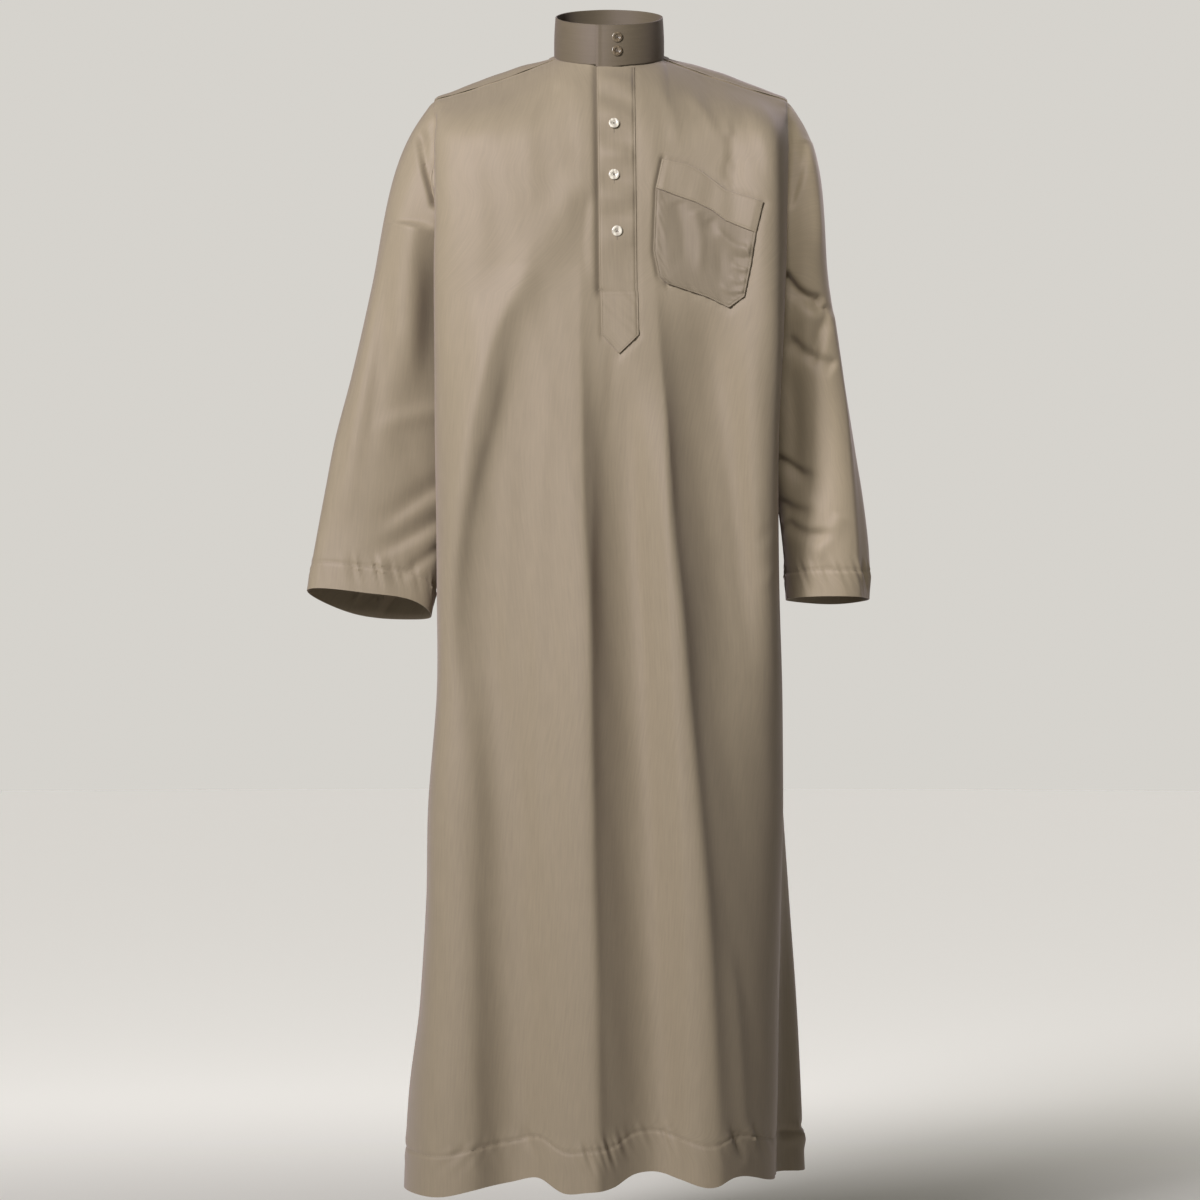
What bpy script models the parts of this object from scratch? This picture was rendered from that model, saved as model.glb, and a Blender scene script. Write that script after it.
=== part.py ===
"""Thobe: an ankle-length, long-sleeved overshirt with a stand collar, worn shape, no wearer.

Frame: +X is the wearer's left, -Y is the front, +Z is up. The origin is the middle of the neck
opening at the height of the shoulder seams' inner ends, where the wearer's neck and shoulders
hold the garment up. Tables are in millimetres and are turned into metres by MM.

Every cloth piece is a thin closed wall: a grid of outer points, the same grid moved in by the
cloth's thickness, and rims that join the two along the cut edges.
"""
import math

import bpy
import numpy as np
from mathutils import Vector
from mathutils.bvhtree import BVHTree

MM = 0.001

# ---- driving dimensions -------------------------------------------------------------------
WALL = 1.2 * MM              # cloth wall of the panels and sleeves
TRIM_WALL = 1.0 * MM         # placket and pocket wall
COLLAR_WALL = 1.5 * MM       # interlined collar band
GAP = 0.3 * MM               # air between two pieces at a seam
ON_CLOTH = 0.70 * MM         # air under a piece that lies on a panel, measured from its points

NECK_HALF_WIDTH = 67.8 * MM
NECK_HALF_DEPTH = 64.0 * MM
NECK_TILT = 0.28             # the neckline rises this much for each metre towards the back
COLLAR_HEIGHT = 50.0 * MM
SEAM_FORWARD = 12.0 * MM     # the shoulder seams lie this far in front of the neck's middle

CHEST_Z = -120.0 * MM        # above this height the panels turn over to the shoulders
ARMPIT_Z = -305.0 * MM
HEM_Z = -1405.0 * MM
HEM_RISE_Z = -1050.0 * MM    # above this height the hem's waves have died out

NECK_COLUMNS_FRONT = 6       # columns from the front's middle to the shoulder seam
NECK_COLUMNS_BACK = 4
SHOULDER_COLUMNS = 11        # columns along each shoulder seam
NECK_SHARE = 0.345           # how far out along a half panel the shoulder seam starts
GRAIN_SHARE = 0.80           # how much of a half panel's width stays on straight columns

LOWER_ROWS = (HEM_Z, -1.372, -1.330, -1.270, -1.195, -1.110, -1.020, -0.930, -0.840, -0.755,
              -0.675, -0.600, -0.530, -0.465, -0.405, -0.352, ARMPIT_Z)
ARMHOLE_ROWS = (-0.268, -0.231, -0.194, -0.157, CHEST_Z)
TOP_SHARES = (0.22, 0.44, 0.64, 0.83, 1.0)

SLIT_END_Z = -285.0 * MM     # the neck slit in the front, hidden under the placket
SLIT_WIDTH = 1.0 * MM
SLIT_COLUMN = 1              # columns from the middle towards the wearer's left

# ---- body sections ------------------------------------------------------------------------
# A half panel's level outline runs from its middle to the fold beside the arm (the edge) and
# on to its side (the side seam, or the armhole above the armpit).
FRONT_SECTIONS = dict(
    z=(-1405, -1290, -1180, -1050, -930, -800, -680, -480, -305, -250, -180, -120),
    middle_y=(-150, -149, -148, -145, -142, -139, -136, -131, -128, -126, -122, -114),
    right_edge=(254, 249, 235, 227, 224, 214, 213, 216, 217, 217, 217, 218),
    left_edge=(206, 209, 211, 214, 216, 215, 211.5, 210, 217.5, 219.5, 221, 222.5),
    edge_y=(-50, -50, -50, -53, -56, -60, -63, -69, -73, -74, -72, -58),
)
BACK_SECTIONS = dict(
    z=(-1405, -1290, -1180, -1050, -930, -800, -680, -480, -305, -250, -180, -120),
    middle_y=(165, 158, 152, 147, 142, 137, 133, 126, 121, 118, 112, 102),
    right_edge=(246, 240, 230, 223, 220, 216, 208, 206, 208, 209, 212, 214),
    left_edge=(248, 243, 237, 228, 220, 217, 210, 206, 208, 209, 213, 216),
    edge_y=(58, 58, 58, 60, 62, 66, 70, 78, 82, 82, 78, 66),
)
SIDE_SEAM = dict(
    z=(-1405, -1290, -1180, -1050, -930, -800, -680, -600, -500, -420, -340, -305),
    right=(251, 244, 232, 224, 219, 208, 196, 185, 172, 170, 173.5, 180),
    left=(209, 211, 213, 215, 214, 207, 196, 185, 172, 170, 173.5, 180),
    y=(-8, -4, 2, 4, 5, 6, 8, 8, 8, 8, 6, 5),
)
ARMHOLE_FRONT = dict(
    z=(-305, -280, -250, -180, -120),
    right=(180, 192, 205, 217, 218),
    left=(180, 193, 207, 221, 222.5),
    y=(5, -24, -48, -72, -58),
)
ARMHOLE_BACK = dict(
    z=(-305, -280, -250, -180, -120),
    right=(180, 190, 200, 212, 214),
    left=(180, 190, 200, 213, 216),
    y=(5, 34, 58, 78, 66),
)
SHOULDER_POINT = dict(right=(218.7, -13, -55.0), left=(223.4, -13, -55.5))
# The shoulder seam's height falls by slope * run, less sag * run * run (run from the neck).
SHOULDER_SLOPE = dict(right=0.425, left=0.385)
RIDGE_REACH = 42.0 * MM      # how strongly the back's columns carry over the ridge
# Along the seam from the neck (run 0) to the tip: how steeply the cloth crosses it, how much the
# columns fan outwards from the neck, and how high the back's crown stands.
RIDGE = dict(run=(0, 0.25, 0.7, 1), steep=(0.36, 0.58, 0.58, 0.45), fan=(0.55, 0.15, 0.0, 0.0),
             crown=(1.06, 1.18, 1.15, 0.62))
YOKE_LEDGE = 0.6 * MM        # the back's folded edge stands this proud of the front's

# ---- folds --------------------------------------------------------------------------------
# A fold is a long ridge: its crest follows x at four heights, it rises over 'before' (towards
# the wearer's right) and falls over 'after'. Negative height makes a trough.
FOLD_Z = (-1405, -1050, -650, -300)
FRONT_FOLDS = (
    dict(crest=(136, 132, 94, 50), height=(34, 30, 17, 4), before=80, after=(52, 46, 28, 24)),
    dict(crest=(-12, -17, -24, -30), height=(17, 17, 12, 3), before=62, after=(30, 30, 24, 22)),
    dict(crest=(-190, -196, -194, -140), height=(2, 3, 14, 7), before=40, after=(40, 44, 36, 44)),
    dict(crest=(-150, -152, -150, -150), height=(13, 8, 0, 0), before=52, after=(26, 26, 26, 26)),
    dict(crest=(-60, -66, -70, -70), height=(7, 3, 0, 0), before=30, after=(22, 22, 22, 22)),
    dict(crest=(215, 214, 204, 205), height=(0, 0, 5, 7), before=40, after=(30, 30, 30, 30)),
)
BACK_FOLDS = (
    dict(crest=(-150, -140, -118, -100), height=(20, 16, 8, 1), before=46, after=(40, 40, 34, 30)),
    dict(crest=(-52, -48, -40, -34), height=(15, 12, 6, 1), before=36, after=(40, 38, 30, 26)),
    dict(crest=(44, 40, 30, 20), height=(18, 15, 8, 1), before=44, after=(34, 32, 28, 26)),
    dict(crest=(142, 130, 112, 96), height=(17, 14, 9, 2), before=40, after=(46, 42, 34, 30)),
)
# Rise of the bottom edge from the hem's level, by place across the front and the back.
FRONT_HEM = dict(x=(-254, -205, -165, -120, -90, -52, -28, 8, 34, 48, 84, 134, 148, 209),
                 rise=(-4, -5, 4, 12, 19, 2, 4, 10, 24, 26, 18, 11, 18, 6))
BACK_HEM = dict(x=(-251, -150, -50, 50, 150, 209, 248), rise=(-4, 10, 5, 12, 8, 6, 2))

# ---- sleeves ------------------------------------------------------------------------------
# Level outlines of each hanging sleeve, as distances from the garment's middle.
SLEEVE_RIGHT = dict(
    z=(-686, -634, -556, -496, -405, -340, -290),
    outer=(376.5, 368.5, 355.5, 345, 322.5, 308, 297.5),
    inner=(222, 213, 200, 190, 181, 181, 182),
    middle_y=(-30, -22, -12, -6, 2, 6, 6),
    half_depth=(32, 36, 48, 58, 70, 74, 76),
    pinch=(0.10, 0.15, 0.30, 0.40, 0.45, 0.45, 0.45),
)
SLEEVE_LEFT = dict(
    z=(-681, -634, -556, -496, -405, -340, -290),
    outer=(325, 325.5, 318, 308.5, 294, 284, 276.5),
    inner=(222, 219.5, 210, 197, 182, 181, 182),
    middle_y=(-12, -10, -4, 0, 4, 6, 6),
    half_depth=(62, 63, 66, 70, 76, 78, 79),
    pinch=(0.05, 0.10, 0.25, 0.38, 0.45, 0.45, 0.45),
)
# The cuff's plane: how far its front and its outer side stand above its middle.
CUFF_TILT = dict(right=(11.5, 15.5), left=(4.0, 0.0))
SLEEVE_ROWS = 22
BICEP_SHARE = 0.34           # share of the rows that shape the sleeve's head
# Soft creases across a sleeve: height, angle round from the outside (front 90), half lengths.
SLEEVE_CREASES = dict(
    right=(
        dict(z=-190, turn=70, depth=-6, high=30, wide=34),
        dict(z=-300, turn=95, depth=5, high=80, wide=22),
        dict(z=-452, turn=118, depth=-6, high=18, wide=44),
        dict(z=-590, turn=120, depth=-7, high=16, wide=42),
        dict(z=-628, turn=112, depth=5, high=14, wide=36),
    ),
    left=(
        dict(z=-150, turn=70, depth=-5, high=30, wide=30),
        dict(z=-300, turn=100, depth=-6, high=16, wide=40),
        dict(z=-380, turn=75, depth=-6, high=18, wide=40),
        dict(z=-540, turn=110, depth=-8, high=18, wide=46),
        dict(z=-585, turn=60, depth=6, high=26, wide=30),
    ),
)

# ---- trim ---------------------------------------------------------------------------------
PLACKET_EDGE = dict(z=(-21, -303, -304, -357), right=(-15, -11.5, -10, -9.5),
                    left=(31.5, 34.3, 35.4, 36.5))
PLACKET_TIP_Z = -380.0
PLACKET_COLUMNS = 5
POCKET_BAND_TOP = ((65, -139.5), (97, -146), (114, -155.5), (143, -178), (189, -194))
POCKET_BAND_FOOT = ((57, -176), (81, -185.5), (105, -194), (126, -204), (143, -217), (180, -232))
POCKET_BAG_LEFT = ((57, -176), (54, -253), (60.5, -284), (71.5, -294))
POCKET_BAG_FOOT = ((71.5, -294), (121, -310.5), (147, -323.5), (166, -310))
POCKET_BAG_RIGHT = ((180, -232), (174, -271), (166, -310))
BAND_WALL = 1.9 * MM
BAG_SWELL = 2.2 * MM         # the bag's middle stands off the chest by this much more

BUTTON_RADIUS = 6.6 * MM
BUTTON_HEIGHT = 2.6 * MM
PLACKET_BUTTONS = ((6.0, -96.5), (6.0, -159.5), (9.6, -229.5))
COLLAR_BUTTONS = ((9.9, 16.5), (9.6, -0.5))

FACE_FRONT = -1
FACE_BACK = 1


# ---- curves -------------------------------------------------------------------------------
def through(stations, values, at):
    """Smooth curve through the values: cubic pieces whose slopes are the mean of the chords."""
    order = np.argsort(stations)
    stations = np.asarray(stations, float)[order]
    values = np.asarray(values, float)[order]
    at = np.asarray(at, float)
    step = np.diff(stations)
    chord = np.diff(values) / step
    slope = np.empty_like(values)
    slope[1:-1] = (chord[:-1] * step[1:] + chord[1:] * step[:-1]) / (step[1:] + step[:-1])
    slope[0] = chord[0]
    slope[-1] = chord[-1]
    piece = np.clip(np.searchsorted(stations, at) - 1, 0, len(step) - 1)
    width = step[piece]
    t = np.clip((at - stations[piece]) / width, 0.0, 1.0)
    return ((1 + 2 * t) * (1 - t) ** 2 * values[piece] + t * (1 - t) ** 2 * width * slope[piece]
            + t * t * (3 - 2 * t) * values[piece + 1]
            + t * t * (t - 1) * width * slope[piece + 1])


def column(table, name, z):
    """A table's column in metres at the heights z (metres)."""
    return through(table["z"], table[name], z / MM) * MM


def bezier(a, b, c, d, t):
    """Cubic Bezier curve; the four points broadcast against t's last axis of size one."""
    return (1 - t) ** 3 * a + 3 * t * (1 - t) ** 2 * b + 3 * t * t * (1 - t) * c + t ** 3 * d


def soft_step(t):
    """Zero below 0, one above 1, level at both ends."""
    t = np.clip(t, 0.0, 1.0)
    return t * t * (3 - 2 * t)


# ---- the body's level outlines ------------------------------------------------------------
def fold_height(folds, x, z):
    """Sum of the folds' heights at x, z: each is a bell whose two flanks differ in width."""
    total = np.zeros(np.broadcast(x, z).shape)
    for fold in folds:
        crest = through(FOLD_Z, fold["crest"], z / MM) * MM
        height = np.maximum(through(FOLD_Z, fold["height"], z / MM), 0.0) * MM
        after = through(FOLD_Z, fold["after"], z / MM) * MM
        before = fold["before"] * MM
        away = x - crest
        width = np.where(away < 0, before, after)
        total = total + height * np.exp(-(away / width) ** 2)
    return total


def side_point(face, side, z):
    """The side seam below the armpit, the armhole's edge above it, as distances and depths."""
    armhole = ARMHOLE_FRONT if face == FACE_FRONT else ARMHOLE_BACK
    below = z <= ARMPIT_Z + 1e-9
    x = np.where(below, column(SIDE_SEAM, side, z), column(armhole, side, z))
    y = np.where(below, column(SIDE_SEAM, "y", z), column(armhole, "y", z))
    return x, y


def half_outline(face, side, z, samples=90):
    """Dense level outlines of half a panel at heights z: middle, fold beside the arm, side.

    Two cubic pieces in plan: a flat-fronted quarter round from the middle to the edge, and an
    S from the edge to the side. The folds then push the points out along the plan's normal.
    """
    sections = FRONT_SECTIONS if face == FACE_FRONT else BACK_SECTIONS
    z = np.atleast_1d(z)
    middle_y = column(sections, "middle_y", z)
    edge_x = column(sections, side + "_edge", z)
    edge_y = column(sections, "edge_y", z)
    side_x, side_y = side_point(face, side, z)
    zero = np.zeros_like(z)

    def pair(x, y):
        return np.stack([x, y], axis=-1)[:, None, :]

    t = np.linspace(0.0, 1.0, samples)[None, :, None]
    middle = pair(zero, middle_y)
    edge = pair(edge_x, edge_y)
    end = pair(side_x, side_y)
    quarter = bezier(middle, middle + pair(0.62 * edge_x, zero),
                     edge + pair(zero, 0.66 * (middle_y - edge_y)), edge, t)
    reach = 0.5 * (side_y - edge_y)
    tuck = bezier(edge, edge + pair(zero, reach), end - pair(zero, reach), end, t[:, 1:])
    plan = np.concatenate([quarter, tuck], axis=1)

    along = np.gradient(plan, axis=1)
    length = np.maximum(np.linalg.norm(along, axis=2, keepdims=True), 1e-9)
    along = along / length
    outward = face * np.stack([-along[..., 1], along[..., 0]], axis=-1)
    sign = 1.0 if side == "left" else -1.0
    folds = FRONT_FOLDS if face == FACE_FRONT else BACK_FOLDS
    lift = fold_height(folds, sign * plan[..., 0], z[:, None])
    facing = np.maximum(face * outward[..., 1], 0.0)
    plan = plan + outward * (lift * facing ** 1.5)[..., None]
    plan[..., 0] *= sign
    return plan


def half_rows(face, side, z, shares):
    """Points of half a panel on level rows: columns keep their distance from the middle."""
    plan = half_outline(face, side, z)
    shares = np.asarray(shares)
    rows = np.empty((len(z), len(shares), 2))
    for row, line in enumerate(plan):
        run = np.concatenate([[0.0], np.cumsum(np.linalg.norm(np.diff(line, axis=0), axis=1))])
        whole = run[-1] - 0.5 * GAP
        straight = GRAIN_SHARE * min(whole, 0.27)
        wanted = straight * shares + (whole - straight) * shares ** 4
        rows[row, :, 0] = np.interp(wanted, run, line[:, 0])
        rows[row, :, 1] = np.interp(wanted, run, line[:, 1])
    return rows


def hem_rise(face, x, z):
    """How far the rows near the bottom are lifted, so that the hem's edge is wavy."""
    hem = FRONT_HEM if face == FACE_FRONT else BACK_HEM
    fade = soft_step((HEM_RISE_Z - z) / (HEM_RISE_Z - HEM_Z))
    return through(hem["x"], hem["rise"], x / MM) * MM * fade


# ---- the panels' tops ---------------------------------------------------------------------
def neck_point(angle):
    """The neckline: a level ellipse tipped forwards; angle 0 is the front's middle."""
    x = NECK_HALF_WIDTH * np.sin(angle)
    y = -NECK_HALF_DEPTH * np.cos(angle)
    return np.stack([x, y, NECK_TILT * y], axis=-1)


SEAM_ANGLE = math.acos(SEAM_FORWARD / NECK_HALF_DEPTH)


def top_edge(face, side, shares):
    """Where half a panel's columns end: on the neckline, then along the shoulder seam."""
    shares = np.asarray(shares)
    sign = 1.0 if side == "left" else -1.0
    on_neck = np.clip(shares / NECK_SHARE, 0.0, 1.0)
    if face == FACE_FRONT:
        angle = SEAM_ANGLE * on_neck
    else:
        angle = math.pi + (SEAM_ANGLE - math.pi) * on_neck
    points = neck_point(angle)
    run = np.clip((shares - NECK_SHARE) / (1.0 - NECK_SHARE), 0.0, 1.0)
    start = neck_point(SEAM_ANGLE)
    tip = np.array(SHOULDER_POINT[side]) * MM
    reach = tip[0] - start[0]
    x = reach * run
    sag = (start[2] - tip[2] - SHOULDER_SLOPE[side] * reach) / reach ** 2
    drop = SHOULDER_SLOPE[side] * x + sag * x * x
    on_seam = shares > NECK_SHARE
    points[on_seam, 0] = (start[0] + x)[on_seam]
    points[on_seam, 1] = (start[1] + (tip[1] - start[1]) * run)[on_seam]
    points[on_seam, 2] = (start[2] - drop)[on_seam]
    points[:, 0] *= sign
    return points


def top_rows(face, side, shares, chest, heights):
    """Columns from the chest up to the neckline and the shoulder seam, as cubic curves."""
    shares = np.asarray(shares)
    top = top_edge(face, side, shares)
    sign = 1.0 if side == "left" else -1.0
    to_shoulder = soft_step(shares / NECK_SHARE)[:, None]
    low = np.concatenate([chest, np.full((len(shares), 1), CHEST_Z)], axis=1)
    rise = (top[:, 2] - CHEST_Z)[:, None]
    run = np.clip((shares - NECK_SHARE) / (1.0 - NECK_SHARE), 0.0, 1.0)[:, None]
    neck_way = np.stack([-0.30 * top[:, 0] / NECK_HALF_WIDTH, -0.40 * top[:, 1]
                         / NECK_HALF_DEPTH, np.full(len(shares), 0.88)], axis=1)
    steep = through(RIDGE["run"], RIDGE["steep"], run)
    outward = sign * through(RIDGE["run"], RIDGE["fan"], run)
    over = np.concatenate([0 * run, np.sqrt(1 - steep ** 2), steep], axis=1)
    along = np.concatenate([outward, 0 * run, -np.abs(outward) * SHOULDER_SLOPE[side]], axis=1)
    if face == FACE_FRONT:
        lean = np.array([[0.0, 0.10, 1.0]])
        first = low + lean * rise * (0.50 - 0.08 * to_shoulder)
        over = over - 0.5 * along
        second = top - neck_way * 0.030 * (1 - to_shoulder) - over * 0.034 * to_shoulder
    else:
        lean = np.array([[0.0, -0.10, 1.0]])
        crown = through(RIDGE["run"], RIDGE["crown"], run)
        to_shoulder = to_shoulder ** 2
        first = low + lean * rise * (0.50 * (1 - to_shoulder) + crown * to_shoulder)
        over = (over + along) * RIDGE_REACH
        second = top - neck_way * 0.030 * (1 - to_shoulder) + over * to_shoulder
    t = np.asarray(heights)[:, None, None]
    return bezier(low[None], first[None], second[None], top[None], t)


def column_shares(face):
    """Places of half a panel's columns, from its middle (0) to its side (1)."""
    inner = NECK_COLUMNS_FRONT if face == FACE_FRONT else NECK_COLUMNS_BACK
    neck = NECK_SHARE * np.arange(inner + 1) / inner
    shoulder = NECK_SHARE + (1 - NECK_SHARE) * np.arange(1, SHOULDER_COLUMNS + 1) / SHOULDER_COLUMNS
    return np.concatenate([neck, shoulder])


def panel_grid(face):
    """Outer points of the front or the back: rows from the hem up, columns from -X to +X."""
    shares = column_shares(face)
    levels = np.array(LOWER_ROWS + ARMHOLE_ROWS)
    halves = {}
    for side in ("right", "left"):
        plan = half_rows(face, side, levels, shares)
        z = np.repeat(levels[:, None], len(shares), axis=1)
        z = z + hem_rise(face, plan[..., 0], z)
        body = np.concatenate([plan, z[..., None]], axis=2)
        top = top_rows(face, side, shares, plan[-1], TOP_SHARES)
        halves[side] = np.concatenate([body, top], axis=0)
    grid = np.concatenate([halves["right"][:, :0:-1], halves["left"]], axis=1)
    grid[-1] += seam_allowance(face, shares)
    return grid


def seam_allowance(face, shares):
    """Half the seam gap, and the ledge of the back's folded edge, along a panel's top edge."""
    both = np.concatenate([shares[:0:-1], shares])[:, None]
    on_seam = both > NECK_SHARE - 1e-6
    down_front = np.array([[0.0, -0.86, -0.50]]) * 0.5 * GAP
    if face == FACE_FRONT:
        return np.where(on_seam, down_front, 0.0)
    clear_of_collar = soft_step((both - NECK_SHARE) / (0.12 * (1.0 - NECK_SHARE)))
    ledge = np.array([[0.0, -0.50, 0.86]]) * YOKE_LEDGE * clear_of_collar
    return np.where(on_seam, ledge - down_front, 0.0)


# ---- walls --------------------------------------------------------------------------------
def grid_normals(grid, wrap=False):
    """Unit normals of a grid of points, from its two directions of travel."""
    if wrap:
        ring = np.concatenate([grid[:, -1:], grid, grid[:, :1]], axis=1)
        across = (ring[:, 2:] - ring[:, :-2])
    else:
        across = np.gradient(grid, axis=1)
    up = np.gradient(grid, axis=0)
    normal = np.cross(across, up)
    return normal / np.maximum(np.linalg.norm(normal, axis=2, keepdims=True), 1e-12)


def grid_faces(grid, wrap=False):
    """Triangles of a grid as point numbers: each quad is cut along its shorter diagonal.

    wrap closes the last column to the first.
    """
    rows, columns = grid.shape[:2]
    points = grid.reshape(-1, 3)
    across = columns if wrap else columns - 1
    row, col = np.meshgrid(np.arange(rows - 1), np.arange(across), indexing="ij")
    nxt = (col + 1) % columns
    a, b = (row * columns + col).ravel(), (row * columns + nxt).ravel()
    c, d = ((row + 1) * columns + nxt).ravel(), ((row + 1) * columns + col).ravel()
    rising = np.linalg.norm(points[a] - points[c], axis=1)
    falling = np.linalg.norm(points[b] - points[d], axis=1)
    first = np.where((rising <= falling)[:, None], np.stack([a, b, c], 1), np.stack([a, b, d], 1))
    second = np.where((rising <= falling)[:, None], np.stack([a, c, d], 1), np.stack([b, c, d], 1))
    return np.concatenate([first, second])


def close_wall(outer, inner, faces):
    """A closed shell from two like sheets: the outer, the inner turned over, and the rims."""
    count = len(outer)
    edges = {}
    for face in faces:
        for a, b in zip(face, np.roll(face, -1)):
            edges[(int(a), int(b))] = True
    rims = [(b, a, a + count, b + count) for a, b in edges if (b, a) not in edges]
    shell = [tuple(int(v) for v in face) for face in faces]
    shell += [tuple(int(v) + count for v in face[::-1]) for face in faces]
    return np.concatenate([outer, inner]), shell + rims


def material(name, colour, roughness, metallic=0.0):
    """A Principled material with a plain colour."""
    finish = bpy.data.materials.new(name)
    finish.use_nodes = True
    shader = finish.node_tree.nodes["Principled BSDF"]
    shader.inputs["Base Color"].default_value = (*colour, 1.0)
    shader.inputs["Roughness"].default_value = roughness
    shader.inputs["Metallic"].default_value = metallic
    return finish


def add_piece(name, points, faces, finish):
    """Put a piece into the scene as one object with its points in place."""
    mesh = bpy.data.meshes.new(name)
    mesh.from_pydata([tuple(point) for point in points], [], faces)
    mesh.update()
    mesh.shade_smooth()
    mesh.set_sharp_from_angle(angle=math.radians(50))
    mesh.materials.append(finish)
    piece = bpy.data.objects.new(name, mesh)
    bpy.context.collection.objects.link(piece)
    return piece


# ---- front and back -----------------------------------------------------------------------
def split_slit(grid):
    """The front's points and faces, with the column under the placket parted down to the slit's
    end."""
    rows, columns = grid.shape[:2]
    middle = columns // 2 + SLIT_COLUMN
    faces = grid_faces(grid)
    parted = np.nonzero(grid[:, middle, 2] > SLIT_END_Z)[0]
    points = grid.reshape(-1, 3).copy()
    twin = {int(row * columns + middle): rows * columns + i for i, row in enumerate(parted)}
    twins = points[list(twin)].copy()
    twins[:, 0] += 0.5 * SLIT_WIDTH
    points[list(twin), 0] -= 0.5 * SLIT_WIDTH
    on_left = (faces % columns >= middle).all(axis=1)
    for number in np.nonzero(on_left)[0]:
        faces[number] = [twin.get(int(v), v) for v in faces[number]]
    return np.concatenate([points, twins]), faces


def shared_normals(front_grid, back_grid):
    """Outward normals of both panels, made equal where the two are sewn to each other."""
    front = grid_normals(front_grid)
    back = -grid_normals(back_grid)
    sewn_rows = slice(0, LOWER_ROWS.index(ARMPIT_Z) + 1)
    seams = [(sewn_rows, 0), (sewn_rows, -1)]
    seams += [(-1, slice(0, SHOULDER_COLUMNS + 1)), (-1, slice(-SHOULDER_COLUMNS - 1, None))]
    for seam in seams:
        mean = front[seam] + back[seam]
        mean = mean / np.linalg.norm(mean, axis=-1, keepdims=True)
        front[seam] = mean
        back[seam] = mean
    return front, back


def build_front(grid, normals, finish):
    outer, faces = split_slit(grid)
    inner, _ = split_slit(grid - normals * WALL)
    points, shell = close_wall(outer, inner, faces)
    return add_piece("front_panel", points, shell, finish)


def build_back(grid, normals, finish):
    outer = grid[:, ::-1].reshape(-1, 3)
    inner = (grid - normals * WALL)[:, ::-1].reshape(-1, 3)
    points, shell = close_wall(outer, inner, grid_faces(grid[:, ::-1]))
    return add_piece("back_panel", points, shell, finish)


# ---- sleeves ------------------------------------------------------------------------------
def armhole_ring(side, front, back):
    """One armhole's values out of the two panels' arrays: from the shoulder point down the
    front to the armpit and back up the back."""
    low = LOWER_ROWS.index(ARMPIT_Z)
    end = -1 if side == "left" else 0
    front = front[low:, end]
    back = back[low:, end]
    armpit = 0.5 * (front[:1] + back[:1])
    shoulder = 0.5 * (front[-1:] + back[-1:])
    return np.concatenate([shoulder, front[-2:0:-1], armpit, back[1:-1]])


def give_ring(side, ring, front, back):
    """Put one armhole's values back into the two panels' arrays."""
    low = LOWER_ROWS.index(ARMPIT_Z)
    end = -1 if side == "left" else 0
    half = len(ring) // 2
    front[low:, end] = ring[half::-1]
    back[low:, end] = np.concatenate([ring[half:], ring[:1]])


def ring_turns(ring, half):
    """Angles of the armhole's points: 0 at the shoulder, half a turn at the armpit."""
    run = np.linalg.norm(np.diff(np.concatenate([ring, ring[:1]]), axis=0), axis=1)
    down = np.concatenate([[0.0], np.cumsum(run[:half])])
    up = np.concatenate([[0.0], np.cumsum(run[half:])])
    turns = np.concatenate([down / down[-1], 1.0 + up[1:-1] / up[-1]])
    return turns * math.pi


def sleeve_section(table, tilt, turns, z, share):
    """A level outline of the hanging sleeve, narrower towards the body, its plane tipped by the
    share of the cuff's tilt."""
    outer = column(table, "outer", z)
    inner = column(table, "inner", z)
    depth = column(table, "half_depth", z)
    pinch = through(table["z"], table["pinch"], z / MM)
    middle_y = column(table, "middle_y", z)
    x = 0.5 * (outer + inner) + 0.5 * (outer - inner) * np.cos(turns)
    y = middle_y - depth * np.sin(turns) * (1 - pinch * (1 - np.cos(turns)) / 2)
    front, out = tilt
    rise = share * MM * (front * np.sin(turns) + out * np.cos(turns))
    return np.stack([x, y, z + rise], axis=-1)


def crease_height(creases, turns, z):
    """Sum of a sleeve's creases: each is a bell in height and in angle round the sleeve."""
    total = np.zeros(np.broadcast(turns, z).shape)
    degrees = np.degrees(turns)
    for crease in creases:
        high = (z / MM - crease["z"]) / crease["high"]
        wide = (degrees - crease["turn"]) / crease["wide"]
        total = total + crease["depth"] * MM * np.exp(-high ** 2 - wide ** 2)
    return total


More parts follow.
